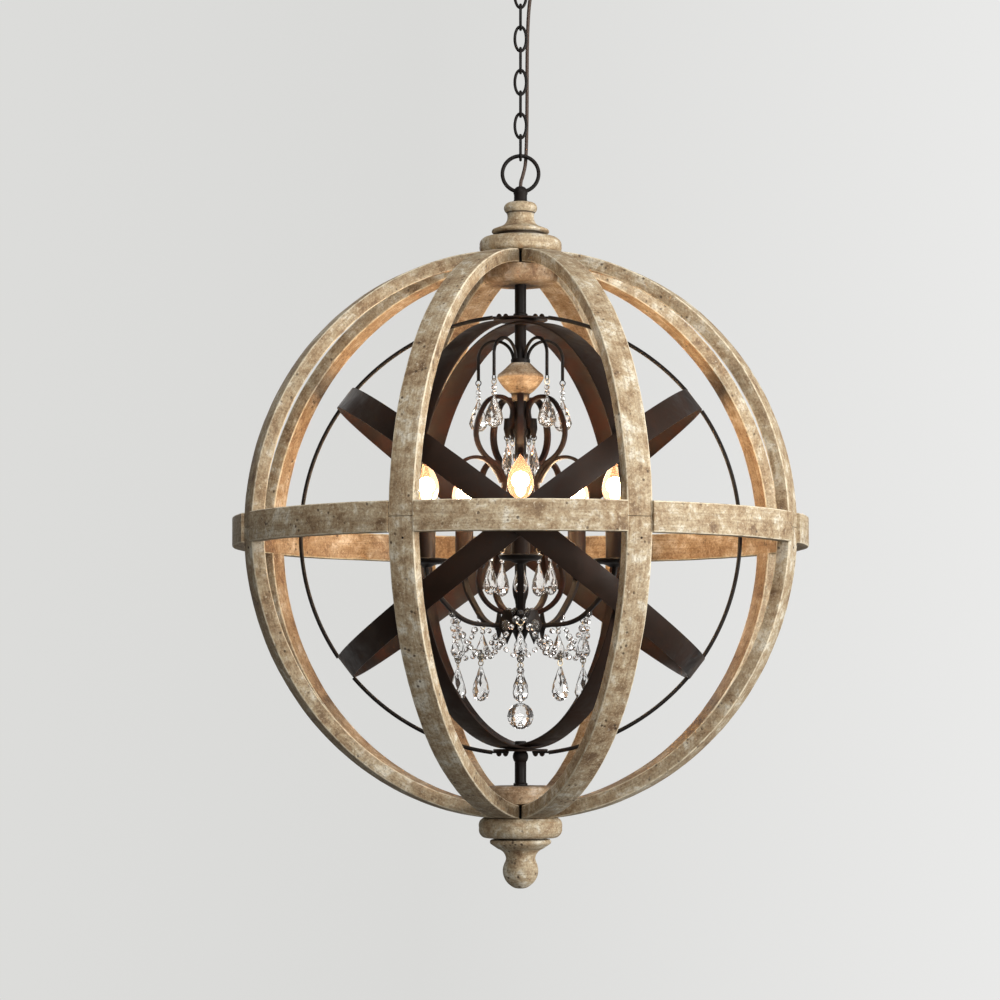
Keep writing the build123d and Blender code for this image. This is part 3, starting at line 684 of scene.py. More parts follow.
# ---- the orb's wood --------------------------------------------------------------------------------------
HOOP_OUTER = 344.5
HOOP_DEPTH = 16.0
HOOP_CORNER = 1.6
HOOP_JOINT = asin(0.35 / HOOP_OUTER)  # where a quarter starts, so that a fine joint shows at the equator
HOOP_LAP = asin(17.45 / HOOP_OUTER)  # where it leaves its housing
HOOP_MITRE = radians(88.9)  # where it ends
HOOP_SPANS = 56
MITRE_GAP = 1.5
BAR_WEAR = [0.5, 1.0, 1.0, 0.5] * 4  # most wear at the four corners


def hoop_turn(k):
    return turn_to((k + 0.5) * 360 / HOOPS)


def knocked(seed):
    """Small knocks and an uneven hand finish, as a shift of each place."""
    noise.seed_set(1)  # without a seed the noise starts from the clock and differs in each run
    start = Vector((seed * 7.3, 0, 0))
    return lambda p: noise.noise_vector(p / 9 + start) * 0.22 + noise.noise_vector(p / 46 + start) * 0.3


def hoop_quarter(form, turn, sign, width):
    """A quarter arc of a hoop, from the equator to its mitre: the upper one for 1, the lower for -1."""
    housed = [HOOP_JOINT] + [HOOP_LAP * k / 3 for k in (1, 2, 3)]
    free = [HOOP_LAP + (HOOP_MITRE - HOOP_LAP) * k / HOOP_SPANS for k in range(HOOP_SPANS + 1)]
    rows = []
    for k, angle in enumerate(housed + free):
        inner = LAP_RADIUS + 0.15 if k < len(housed) else HOOP_OUTER - HOOP_DEPTH
        ease = 0.45 if k == 0 else 0.0
        middle, half_depth = (HOOP_OUTER + inner) / 2, (HOOP_OUTER - inner) / 2 - ease
        row = []
        for su, sv, a in corner_points():
            r = middle + su * (half_depth - HOOP_CORNER) + HOOP_CORNER * cos(a)
            x = r * cos(angle)
            half = min(width / 2 - 0.06, x * tan(pi / HOOPS) - MITRE_GAP) - ease
            y = sv * max(half - HOOP_CORNER, 0.05) + min(HOOP_CORNER, half) * sin(a)
            row.append((x, y, sign * r * sin(angle)))
        rows.append(row)
    form.flat_bar(rows, turn, wear=BAR_WEAR)


class ORB_OT_wooden_hoops(bpy.types.Operator):
    """Build the eight wooden half hoops, each two quarter arcs that meet at the equator"""
    bl_idname = "orb.wooden_hoops"
    bl_label = "Wooden Hoops"

    def execute(self, context):
        width = context.scene.orb_sizes.hoop_width / MM
        for k in range(HOOPS):
            form = Form()
            for sign in (1, -1):
                hoop_quarter(form, hoop_turn(k), sign, width)
            form.bent(knocked(k + 1))
            hoop = form.made(f"limed_hoop_{k + 1}", [look_of("wood"), look_of("wood, painted warm shade")])
            fitted(hoop, "orb", "wood", f"wood_hoop_{k % 4 + 1}")
        self.nails()
        return {"FINISHED"}

    def nails(self):
        """Two nail heads in every half hoop, one near the pole and one under the equator."""
        seats = []
        for k in range(HOOPS):
            for up, aside in ((84.5, 5), (-4.0, 2)):
                raised = Matrix.Rotation(radians(-up), 4, "Y")
                at = hoop_turn(k) @ raised @ moved(HOOP_OUTER + 0.15, aside, 0)
                seats.append(([ORB @ at @ Vector(c) for c in ((0, 0, 0), (0, 0.01, 0), (0, 0, 0.01))], 1))
        nails = bolt_tree().grown("hoop_nails", {
            "Head radius": 0.0013, "Head height": 0.0005, "Material": look_of("iron")},
            seat_mesh("nail seats", seats), smooth=True)
        fitted(nails, "orb", "iron")


class ORB_OT_equator_hoop(bpy.types.Operator):
    """Build the level wooden hoop with a housing for each half hoop"""
    bl_idname = "orb.equator_hoop"
    bl_label = "Equator Hoop"

    def execute(self, context):
        outer, inner, half, corner = 347.5, 332.0, 17.5, 1.5
        half_notch = asin(15.6 / 342)
        stations = []
        for k in range(HOOPS):
            middle = radians((k + 0.5) * 360 / HOOPS - 90)
            after = radians((k + 1.5) * 360 / HOOPS - 90)
            span = after - middle - 2 * half_notch
            stations += [(middle + side * half_notch, True) for side in (-1, 0, 1)]
            stations += [(middle + half_notch + span * j / 14, False) for j in range(15)]
        rows = []
        for angle, housed in stations:
            rim = LAP_RADIUS - 0.1 if housed else outer
            row = []
            for su, sv, a in corner_points():
                r = (rim + inner) / 2 + su * ((rim - inner) / 2 - corner) + corner * cos(a)
                row.append((r * cos(angle), r * sin(angle), sv * (half - corner) + corner * sin(a)))
            rows.append(row)
        form = Form()
        form.flat_bar(rows, closed=True, wear=BAR_WEAR)
        form.bent(knocked(21))
        hoop = form.made("limed_equator_hoop", [look_of("wood"), look_of("wood, painted warm shade")])
        fitted(hoop, "orb", "wood", "equator_hoop")
        return {"FINISHED"}


TURNINGS = {
    "top_cap": ((5, CAP_TOP), (15.5, CAP_TOP), ((20.2, CAP_TOP - 5.5), (17, 392)), ((17, 382), (24.5, 375)),
                (33.5, 371.4), ((35, 369.4), (33.6, 367)), (26.5, 366.2), (26.5, 360.4), (38.5, 361),
                ((48, 358.2), (50, 351)), ((49, 344.8), (44, 341.9)), ((27, 343.7), (5, 344.5))),
    "bottom_finial": ((5, -344.5), ((26, -343.8), (45, -342.2)), ((49.4, -347), (50, -354)),
                      ((48, -362.5), (42, -366.2)), (29, -366.4), (29, -367.6), (33.6, -368),
                      ((36.6, -370), (35.6, -373.6)), (27, -379.5), ((19.8, -384.6), (17.6, -391.5)),
                      (18.6, -394.6), ((21, -409), (12, -423)), ((6, -426.2), (0, -426.6)),
                      (0, -386), (5, -386)),
    "wood_vase": ((7, 208), (12, 208), ((17.5, 202.5), (27.5, 193.5)), (28.4, 190), ((21, 179), (11, 170)),
                  (10.5, 164), (9.2, 161), (7, 161)),
}


# turned pieces in the plain wood; the others take the copy with painted warm shade
OUTSIDE = ("top_cap", "bottom_finial")


def mirrored(line, sign):
    """A profile as it is, or upside down for -1."""
    return [Vector((p.x, sign * p.y)) for p in line]


def disc_profile():
    """The upper inner disc, flat below and crowned to the hoops above."""
    rim, crown, face = 45, 328.0, INNER_DISC_FACE

    def on_crown(r):
        return r, sqrt(crown ** 2 - r ** 2)

    return outline((5, face), (37, face), ((43, face + 2.5), (rim, face + 9)), on_crown(rim),
                   (on_crown(25), on_crown(5)))


class ORB_OT_turned_wood(bpy.types.Operator):
    """Build the turned wooden cap, finial, inner discs and vase"""
    bl_idname = "orb.turned_wood"
    bl_label = "Turned Wood"

    def execute(self, context):
        lines = {name: outline(*steps) for name, steps in TURNINGS.items()}
        lines["top_inner_disc"] = mirrored(disc_profile(), 1)
        lines["bottom_inner_disc"] = mirrored(disc_profile(), -1)
        for name, line in lines.items():
            form = Form().turned(line).bent(knocked(len(name)))
            piece = form.made(f"turned_{name}", [look_of("wood" if name in OUTSIDE else "wood, painted warm shade")])
            fitted(softened(piece, 0.9), "orb", "wood", name)
        return {"FINISHED"}


# ---- the iron cage ---------------------------------------------------------------------------------------
BAND_THICK = 2.5
BAND_CHORDS = 144


def add_band(form, inner, width, turn):
    """A flat band bent to a full circle in the XZ plane."""
    rows = []
    for k in range(BAND_CHORDS):
        a = 2 * pi * k / BAND_CHORDS
        rows.append([((inner + BAND_THICK / 2 + u) * cos(a), v, (inner + BAND_THICK / 2 + u) * sin(a))
                     for u, v in bar_section(BAND_THICK, width, 0.5, 2)])
    form.flat_bar(rows, turn, closed=True)


class ORB_OT_iron_cage(bpy.types.Operator):
    """Build the four flat bands, the wire ring and the two bolted pole plates"""
    bl_idname = "orb.iron_cage"
    bl_label = "Iron Cage"

    def execute(self, context):
        width = context.scene.orb_sizes.band_width / MM
        looks = [look_of("iron"), look_of("rusted")]
        upright = Form()
        add_band(upright, 254.2, width, turn_to(30))
        add_band(upright, 257.15, width, turn_to(-30))
        fitted(upright.made("upright_bands", looks), "orb", "iron", "meridian_bands")
        slanted = Form()
        for inner, tilt in ((263.3, SLANT), (266.25, -SLANT)):
            lie = Matrix.Rotation(radians(-tilt), 4, "Y") @ Matrix.Rotation(radians(90), 4, "X")
            add_band(slanted, inner, width, lie)
        fitted(slanted.made("slanting_bands", looks), "orb", "iron", "slanted_bands")
        self.wire_ring()
        self.pole_plates(looks)
        return {"FINISHED"}

    def wire_ring(self):
        """Six arcs of wire between the bands, and the tabs that tie the ring to the pole plates."""
        form = Form()
        edge, pole, tilt = atan2(15.15, RING_WIRE_R), atan2(34, RING_WIRE_R), radians(SLANT)
        gaps = ((tilt + edge, pi / 2 - pole), (-tilt + edge, tilt - edge), (-pi / 2 + pole, -tilt - edge))
        for low, high in gaps:
            angles = [low + (high - low) * k / 40 for k in range(41)]
            line = [Vector((RING_WIRE_R * cos(a), RING_WIRE_R * sin(a))) for a in angles]
            for turn in (0, 180):
                form.swept(line, round_section(2.5), Matrix.Rotation(radians(turn), 4, "Z"))
        for sign in (1, -1):
            for side in (1, -1):
                line = [Vector((side * x, sign * 263.5)) for x in (14, 20, 26, 32, 37)]
                form.swept(line, bar_section(2.5, 10, 0.6))
        fitted(form.made("wire_ring_arcs", [look_of("wire")]), "orb", "iron", "wire_ring")

    def pole_plates(self, looks):
        """A round plate at each pole with four bolts."""
        form, seats, low = Form(), [], 259.75
        plate = outline((7, low), (32.4, low), (33, low + 0.6), (33, low + 1.9), (32.4, low + 2.5),
                        (7, low + 2.5))
        for sign in (1, -1):
            form.turned(mirrored(plate, sign))
            for x in (18, 26, -18, -26):
                at = ORB @ Vector((x, 0, sign * (low + 4.8)))
                seats.append(([at + Vector((dx, dy, 0)) for dx, dy in ((0, 0), (0.01, 0), (0, 0.01))], sign))
        fitted(form.made("pole_plate_discs", looks), "orb", "iron", "pole_plates")
        bolts = bolt_tree().grown("pole_bolts", {
            "Head radius": 0.0034, "Head height": 0.0042, "Material": look_of("iron")},
            seat_mesh("bolt seats", seats), smooth=True)
        fitted(bolts, "orb", "iron", "pole_plates")


# ---- hanging: canopy, chain, cord ------------------------------------------------------------------------
class ORB_OT_canopy(bpy.types.Operator):
    """Build the ceiling canopy with its collar and loop, and finish the crossbar"""
    bl_idname = "orb.canopy"
    bl_label = "Ceiling Canopy"

    def execute(self, context):
        low, wall, r = -CANOPY_DROP, 1.6, 63.0
        shell = outline((5, low), (30, low), ((52, low + 7), (r, -3)), (r, 0), (r - wall, 0), (r - wall, -3),
                        ((51, low + 8.2), (30, low + wall)), (5, low + wall))
        canopy = Form().turned(shell, sides=96).made("canopy_shell", [look_of("iron")], CEILING)
        fitted(softened(canopy, 0.4), "canopy", "iron", "ceiling_canopy")
        form = Form()
        form.swept(circle(9, 48, (0, CANOPY_LOOP_Z)), round_section(2.3), turn_to(0), closed=True)
        collar = outline((0, low), (11, low), (11, low - 3), ((8.5, low - 7.5), (3, low - 9.5)), (0, low - 9.5))
        form.turned(collar, sides=48)
        grommet = outline((2.4, low + 1.5), (4.4, low + 1.5), (4.4, low - 0.4), (2.4, low - 0.4))
        form.turned(grommet, moved(*CORD_ROUTE[0][:2], 0), sides=32)
        loop = form.made("canopy_loop_ring", [look_of("iron")], CEILING)
        fitted(softened(loop, 0.5), "canopy", "iron", "canopy_loop")
        finishes = frame["nodes"]["ceiling_crossbar"].data.materials
        finishes.clear()
        finishes.append(look_of("iron"))
        return {"FINISHED"}


class ORB_OT_chain(bpy.types.Operator):
    """Build the chain links and the ring that hangs the orb from them"""
    bl_idname = "orb.chain"
    bl_label = "Chain"

    def execute(self, context):
        low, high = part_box("chain")
        sizes = context.scene.orb_sizes
        wire = sizes.link_wire
        # the links touch and fill the chain's height
        length = (high.z - low.z + (LINKS - 1) * 2 * wire) / LINKS
        chain = chain_tree().grown("chain_links", {
            "Link length": length, "Link breadth": sizes.link_breadth, "Wire radius": wire / 2, "Links": LINKS,
            "Pitch": length - 2 * wire, "Top link height": high.z - length / 2,
            "Material": look_of("wire")}, smooth=True)
        fitted(chain, "chain", "iron", "chain")
        form = Form().swept(circle(22.1, 80, (0, RING_Z)), round_section(2.4), closed=True)
        form.turned(outline((0, CAP_TOP), (8.6, CAP_TOP), (8.6, CAP_TOP + 2.6), (8.0, CAP_TOP + 3.4),
                            (8.0, CAP_TOP + 9.4), (8.6, CAP_TOP + 11),
                            ((7.2, CAP_TOP + 17.5), (2.7, CAP_TOP + 20.4)),
                            (2.7, CAP_TOP + 17), (0, CAP_TOP + 17)), sides=48)
        ring = form.made("hanging_ring", [look_of("wire")])
        fitted(softened(ring, 0.4), "orb", "iron", "hanging_loop")
        return {"FINISHED"}


CORD_ROUTE = [
    (20, 5.7, -26),
    (20, 5.7, -46),
    (8, 5.7, -70),
    (8, 5.7, ORB_Z + RING_Z + 21),
    (2.5, 1.6, ORB_Z + RING_Z - 4),
    (0, 0, ORB_Z + CAP_TOP + 26),
    (0, 0, ORB_Z + CAP_TOP + 17),
]


CORD_SPLIT = -0.14  # the height, in metres, at which the cord's two stretches meet


class ORB_OT_supply_cord(bpy.types.Operator):
    """Build the supply cord beside the chain, in two stretches"""
    bl_idname = "orb.supply_cord"
    bl_label = "Supply Cord"

    def execute(self, context):
        data = bpy.data.curves.new("cord route", "CURVE")
        data.dimensions = "3D"
        data.resolution_u = 16
        spline = data.splines.new("NURBS")
        spline.points.add(len(CORD_ROUTE) - 1)
        for point, place in zip(spline.points, CORD_ROUTE):
            point.co = (*[c * MM for c in place], 1)
        spline.order_u = 3
        spline.use_endpoint_u = True
        route = linked("cord route", data)
        places = [v.co.copy() for v in finished_mesh(route).vertices]
        bpy.data.objects.remove(route)
        if len(places) < 20:
            raise RuntimeError("the cord's route gave too few places")
        middle = min(range(len(places)), key=lambda k: abs(places[k].z - CORD_SPLIT))
        upper, lower = places[:middle + 1], places[middle:]
        self.stretch("cord_to_canopy", upper, ("canopy", "chain"), CANOPY_LOOP_Z - 9)
        self.stretch("cord_to_orb", lower, ("chain", "orb"), ORB_Z + RING_Z + 22.1)
        return {"FINISHED"}

    def stretch(self, name, places, bodies, pivot):
        """One stretch of the cord, as a fixed mesh. The two bodies and the joint's height that it is given are
        not used.
        """
        section = round_section(2.2, 10)
        rows, side = [], Vector((0, 1, 0))
        for k, here in enumerate(places):
            run = (places[min(k + 1, len(places) - 1)] - places[max(k - 1, 0)]).normalized()
            side = (side - run * side.dot(run)).normalized()
            other = run.cross(side)
            rows.append([here / MM + side * u + other * v for u, v in section])
        cord = Form().lofted(rows).made(name, [look_of("cord")], CEILING, 60)
        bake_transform(cord)
        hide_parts("supply_cord")


# ---- stem, hub, straps and candle arms -------------------------------------------------------------------
class ORB_OT_stem(bpy.types.Operator):
    """Build the iron stem, its lower end and the hub under the arms"""
    bl_idname = "orb.stem"
    bl_label = "Stem and Hub"

    def execute(self, context):
        iron = [look_of("wire")]
        upper = outline((0, -114), (6, -114), (6, -86), (7, -80), ((9.8, -64), (7, -52)), (7, 120), (8.4, 122),
                        (8.4, 127), (7, 129), (7, 255), (8.6, 256), (8.6, 259), (7, 259.3), (7, 263),
                        (8.8, 263.4), (8.8, 268), (7, 269), (7, INNER_DISC_FACE), (5, INNER_DISC_FACE),
                        (5, CAP_TOP), (0, CAP_TOP))
        fitted(softened(Form().turned(upper, sides=40).made("stem_rod", iron), 0.4), "orb", "iron", "stem")
        lower = outline((0, -250), (6, -250), (7, -251), (7, -262.2), ((9.4, -268.7), (7, -275.2)), (7, -300),
                        (8.6, -301), (8.6, -304), (5, -304), (5, -386), (0, -386))
        rod = Form().turned(lower, sides=40).made("lower_stem_rod", iron)
        fitted(softened(rod, 0.4), "orb", "iron", "lower_stem")
        form = Form()
        form.turned(outline((6, -90), (12, -92), (12, -101), (9, -103), (15, -106), (15, -116), (9, -120),
                            (4, -132), (2, -144), (4, -148), (1.2, -150), (0, -150), (0, -114), (6, -114)),
                    sides=40)
        form.swept(circle(EYE_R, 20, (0, BALL_HOOK_Z)), round_section(EYE_WIRE, 8), closed=True)
        for k in range(LIGHTS):
            turn = turn_to((k + 0.5) * LIGHT_STEP)
            cast_leaf(form, turn, LEAF_PLATE_R, ((0, -134), (12.5, -111), (5, -93)), 2.5)
            form.swept([Vector((8, -110)), Vector((20, -110)), Vector((LEAF_PLATE_R + 0.5, -110))],
                       bar_section(4, 5, 0.8), turn)
        fitted(softened(form.made("hub_turning", iron), 0.4), "orb", "iron", "hub")
        jewels = Form()
        for k in range(LIGHTS):
            face = turn_to((k + 0.5) * LIGHT_STEP) @ moved(LEAF_PLATE_R + 2.5, 0, -111)
            jewels.cut([(7.0, 0), (7.0, 0.8), (4.0, 3.2)], 4, face @ Matrix.Rotation(radians(90), 4, "Y"))
            for n in range(6):
                a = radians(n * 60)
                place = moved(13 + 2 * cos(a), 5.5 * sin(a), -97.5 + 2.5 * (n % 3))
                bead = turn_to(k * LIGHT_STEP + 18) @ place
                jewels.cut([(0, -3.3), (2.6, -1.7), (3.3, 0), (2.6, 1.7), (0, 3.3)], 7, bead)
        fitted(jewels.made("hub_jewels", [look_of("crystal")], smooth=0), "orb", "crystal", "hub")
        return {"FINISHED"}


# a leaf's section as (outwards, sideways), in shares of its ridge and half width
LEAF_SECTION = ((0, -1), (0.45, -1), (0.6, -0.45), (1, 0), (0.6, 0.45), (0.45, 1), (0, 1))


def cast_leaf(form, turn, r, corners, thick, slot=0):
    """A small cast leaf standing upright at a radius. corners are (half width, z) from its tip to its top."""
    (_, tip), (wide, waist), (top, crown) = corners  # the tip is a point
    rows = []
    for k in range(17):
        z = tip + (crown - tip) * k / 16
        if z < waist:
            half = wide * (z - tip) / (waist - tip)
        else:
            half = wide + (top - wide) * (z - waist) / (crown - waist)
        half = max(half, 0.25)
        ridge = thick * (0.62 + 0.38 * min(1.0, half / wide))
        rows.append([(r + ridge * out, half * side, z) for out, side in LEAF_SECTION])
    form.lofted(rows, turn, slot=slot)


STRAP_LINE = ((15, 130), (-0.5, 1), (10, 147), (24, 166), (45, 157), (55.5, 132), (37, 88), (21, 55), (34, 10),
              (53, -50), (40, -86), (17, -96))
SCROLL_LINE = ((24, 62), (0.4, 1), (38, 84), (58, 92), (77, 82), (82, 66), (75, 57), (69, 63))
ARM_LINE = ((14.3, -111), (1, 0), (50, -110), (86, -94), (108, -70), (LIGHT_R, DISH_Z - 5))


def thinned(line, end=0.12, tip=0.35):
    """Section sizes that thin a bar towards its last place, over the last part of its length."""
    last = len(line) - 1
    return [min(1.0, tip + (1 - k / last) / end) for k in range(len(line))]


class ORB_OT_straps_and_arms(bpy.types.Operator):
    """Build the five lyre straps and the five candle arms with their dishes"""
    bl_idname = "orb.straps_and_arms"
    bl_label = "Straps and Arms"

    def execute(self, context):
        looks = [look_of("rusted"), look_of("wire")]
        bar = bar_section(5, 8, 0.9)
        slim = bar_section(4, 8, 0.8)
        strap, scroll = flowing(*STRAP_LINE) + [Vector((11.6, -96))], flowing(*SCROLL_LINE)
        dish = outline((0, DISH_Z - 6), (6, DISH_Z - 6), ((10, DISH_Z - 4), (19, DISH_Z - 2)),
                       ((24, DISH_Z - 0.5), (26, DISH_Z + 3.2)), (25.2, DISH_Z + 4),
                       ((22, DISH_Z + 1.2), (18, DISH_Z + 0.5)), (13.8, DISH_Z), (0, DISH_Z))
        for k in range(LIGHTS):
            turn = turn_to(k * LIGHT_STEP)
            form = Form()
            form.swept(strap, bar, turn)
            form.swept(scroll, slim, turn, sizes=thinned(scroll))
            cast_leaf(form, turn, 14.6, ((0, 116), (7.5, 127), (5, 140)), 7, 1)
            for r, z in (LEAF_DROP, INNER_DROP):
                small_eye(form, turn @ moved(r, 0, z + EYE_R), 1)
            fitted(form.made(f"scrolled_strap_{k + 1}", looks), "orb", "iron", "lyre_straps")
            form = Form()
            form.swept(flowing(*ARM_LINE), bar, turn, slot=1)
            small_eye(form, turn @ moved(ARM_DROP[0], 0, ARM_DROP[1] + EYE_R), 1)
            form.turned(dish, turn @ moved(LIGHT_R, 0, 0), sides=48, slot=1)
            fitted(form.made(f"bent_arm_{k + 1}", looks), "orb", "iron", "candle_arms")
        return {"FINISHED"}


class ORB_OT_candle_lights(bpy.types.Operator):
    """Build the five sleeves and lit bulbs, each with its own small lamp"""
    bl_idname = "orb.candle_lights"
    bl_label = "Candle Lights"

    def execute(self, context):
        floor = SLEEVE_TOP - 20
        sleeve = outline((0, DISH_Z), (12.6, DISH_Z), (12.6, DISH_Z + 2), (11.2, DISH_Z + 3.5),
                         (11.2, SLEEVE_TOP - 1), (10.6, SLEEVE_TOP), (6.6, SLEEVE_TOP), (6.6, floor),
                         (0, floor))
        glass = outline((0, floor + 1), (6, floor + 1), (6, SLEEVE_TOP), ((12.6, 41), (15.4, 53)),
                        ((12.6, 66), (6.4, 77)), ((2.6, 82.5), (0, 87)), fine=12)
        flame = outline((0, 36), ((5.2, 41), (6.0, 46)), ((4.0, 54), (0, 62)))
        for k in range(LIGHTS):
            turn = turn_to(k * LIGHT_STEP) @ moved(LIGHT_R, 0, 0)
            piece = Form().turned(sleeve, turn, sides=40).made(f"sleeve_{k + 1}", [look_of("iron")])
            fitted(piece, "orb", "iron", "candle_sleeves")
            bulb = Form().turned(glass, turn, sides=40)
            bulb = bulb.made(f"bulb_envelope_{k + 1}", [look_of("bulb")], smooth=60)
            core = Form().turned(flame, turn, sides=32)
            core = core.made(f"bulb_glow_{k + 1}", [look_of("flame")], smooth=60)
            for part in (bulb, core):
                part.visible_shadow = False
                fitted(part, f"bulb_{k + 1}", "bulb_glass", f"bulb_{k + 1}")
            lamp = bpy.data.lights.new(f"candle lamp {k + 1}", "POINT")
            lamp.energy = context.scene.orb_sizes.lamp_power
            lamp.color = (1.0, 0.72, 0.42)
            lamp.shadow_soft_size = 0.012
            linked(lamp.name, lamp).location = (ORB @ turn @ Vector((0, 0, 56))) * MM
        return {"FINISHED"}


# ---- crystals --------------------------------------------------------------------------------------------
def small_eye(form, turn, slot=1):
    form.swept(circle(EYE_R, 18), round_section(EYE_WIRE, 8), turn, closed=True, slot=slot)


def pear_drop(form, turn, length, width):
    """A cut pear drop below its eye, from z = 0 down."""
    w = width / 2
    rings = [(0, -length), (0.42 * w, -0.965 * length), (0.8 * w, -0.88 * length), (w, -0.72 * length),
             (0.84 * w, -0.5 * length), (0.5 * w, -0.26 * length), (0.22 * w, -0.06 * length), (0.12 * w, 0)]
    form.cut(rings, 8, turn)


def strung_bead(form, turn, top, length, radius):
    """A cut bead whose top is at a height, on the pin that holds the next one."""
    rings = ((0.28, 0.0), (0.78, 0.18), (1.0, 0.5), (0.78, 0.82), (0.28, 1.0))
    form.cut([(radius * r, top - length * (1 - t)) for r, t in rings], 8, turn)


TIERS = (  # name, half a step round or none, (radius, height), length and width of the pear, beads above it
    ("upper", 0.5, UPPER_DROP, 38, 23, 2),
    ("leaf", 0, LEAF_DROP, 38, 14.8, 0),
    ("inner", 0, INNER_DROP, 40, 18, 2),
    ("arm", 0, ARM_DROP, 31, 18, 1),
    ("lower", 0.5, LOWER_DROP, 42, 21, 0),
)


class ORB_OT_crystal_drops(bpy.types.Operator):
    """Build the hanger wires, the five tiers of pear drops and the crystal ball"""
    bl_idname = "orb.crystal_drops"
    bl_label = "Crystal Drops"

    def execute(self, context):
        glass = [look_of("crystal"), look_of("pins")]
        quarter = Matrix.Rotation(radians(90), 4, "Z")
        self.hangers()
        for tier, shift, (r, z), length, width, beads in TIERS:
            for k in range(LIGHTS):
                form = Form()
                at = turn_to((k + shift) * LIGHT_STEP) @ moved(r, 0, z + LOWER_EYE) @ quarter
                small_eye(form, at)
                top = -EYE_R - 0.2
                for _ in range(beads):
                    strung_bead(form, at, top, 6.6, 3.5)
                    top -= 7
                pear_drop(form, at @ moved(0, 0, top), length, width)
                piece = form.made(f"{tier}_pear_{k + 1}", glass, smooth=0)
                fitted(piece, f"{tier}_drop_{k + 1}", "crystal", f"{tier}_drop_{k + 1}")
        self.ball(glass, quarter)
        return {"FINISHED"}

    def hangers(self):
        form = Form()
        line = flowing((9.2, 212.5), (0, 1), (32, 236), (UPPER_DROP[0], 213), steps=14)
        line += [Vector((UPPER_DROP[0], z)) for z in (206, 198, 188.6)]
        for k in range(LIGHTS):
            turn = turn_to((k + 0.5) * LIGHT_STEP)
            form.swept(line, round_section(2.0, 10), turn)
            small_eye(form, turn @ moved(UPPER_DROP[0], 0, UPPER_DROP[1] + EYE_R), 0)
        form.turned(outline((7, 208), (11.4, 208), (11.8, 210.5), (11.4, 213), (7, 213)), sides=40)
        fitted(form.made("hanger_wires", [look_of("wire")]), "orb", "iron", "crystal_hanger")

    def ball(self, glass, quarter):
        form = Form()
        at = moved(0, 0, BALL_HOOK_Z - EYE_R + LOWER_EYE) @ quarter
        small_eye(form, at)
        top = -EYE_R - 0.2
        for _ in range(4):
            strung_bead(form, at, top, 10.6, 4.8)
            top -= 11
        r = 16.0
        rings = [(r * sin(pi * k / 10), top - r - r * cos(pi * k / 10)) for k in range(1, 10)]
        form.cut([(0, top - 2 * r)] + rings + [(0, top)], 14, at)
        fitted(form.made("hanging_ball", glass, smooth=0), "crystal_ball", "crystal", "crystal_ball")


def hanging_line(start, end, sag, count=12):
    """Places on a string that hangs between two points, lowest by sag at its middle."""
    a, b = Vector(start), Vector(end)
    shares = [k / count for k in range(count + 1)]
    return [a + (b - a) * t - Vector((0, 0, 4 * sag * t * (1 - t))) for t in shares]


class ORB_OT_bead_swags(bpy.types.Operator):
    """String the bead swags under the candle arms"""
    bl_idname = "orb.bead_swags"
    bl_label = "Bead Swags"

    def execute(self, context):
        net = bmesh.new()
        eyes = Form()
        arm_end, leaf_end = (86, 0, -97.5), (LEAF_PLATE_R + 3.2, 0, -124)
        for k in range(LIGHTS):
            turn = turn_to(k * LIGHT_STEP)
            between = turn_to((k + 0.5) * LIGHT_STEP)
            runs = []
            for side in (-0.5, 0.5):
                a = radians(side * LIGHT_STEP)
                dip = (LOWER_DROP[0] * cos(a), LOWER_DROP[0] * sin(a), LOWER_DROP[1] + 2 * EYE_R)
                runs.append([turn @ p for p in hanging_line(arm_end, dip, 8)])
            dip = (LOWER_DROP[0], 0, LOWER_DROP[1] + 2 * EYE_R)
            runs.append([between @ p for p in hanging_line(leaf_end, dip, 9)])
            for run in runs:
                points = [net.verts.new((ORB @ p) * MM) for p in run]
                for a, b in zip(points, points[1:]):
                    net.edges.new((a, b))
            small_eye(eyes, between @ moved(LOWER_DROP[0], 0, LOWER_DROP[1] + EYE_R), 0)
        mesh = bpy.data.meshes.new("swag lines")
        net.to_mesh(mesh)
        net.free()
        beads = bead_tree().grown("strung_beads", {
            "Spacing": 0.0095, "Bead radius": context.scene.orb_sizes.bead_radius, "Large bead scale": 1.35,
            "Material": look_of("crystal")}, mesh)
        fitted(beads, "orb", "crystal", "crystal_swags")
        fitted(eyes.made("swag_eyes", [look_of("pins")]), "orb", "crystal", "crystal_swags")
        return {"FINISHED"}


# ---- stage -----------------------------------------------------------------------------------------------
def studio_surroundings():
    """A pale wall, lighter to the right as painted light from the key lamp's side, and for glass and metal a
    dark studio behind the viewer.
    """
    look = Look("studio", bpy.data.worlds)
    heading = look.add("ShaderNodeTexCoord").outputs["Generated"]
    sides = look.add("ShaderNodeSeparateXYZ", {"Vector": heading}).outputs
    # painted light: the wall brightens towards the right, the key lamp's side
    wall = look.ramp(look.rise(sides["X"], -0.17, 0.17),
                     (0.0, tone(220, 220, 218)), (0.4, tone(218, 218, 216)), (1.0, tone(234, 234, 233)))
    path = look.add("ShaderNodeLightPath").outputs
    in_metal = look.between(look.rise(sides["Y"], -0.1, 0.5), 0.03, 0.8)
    in_glass = look.between(look.rise(sides["Y"], 0.35, 0.75), 0.03, 1.0)
    bounced = look.between(path["Is Glossy Ray"], 0.2, in_metal)
    off_camera = look.between(path["Is Transmission Ray"], bounced, in_glass)
    strength = look.between(path["Is Camera Ray"], off_camera, 1.0)
    light = look.add("ShaderNodeBackground", {"Color": wall, "Strength": strength})
    look.add("ShaderNodeOutputWorld", {"Surface": light.outputs[0]})
    return look.material


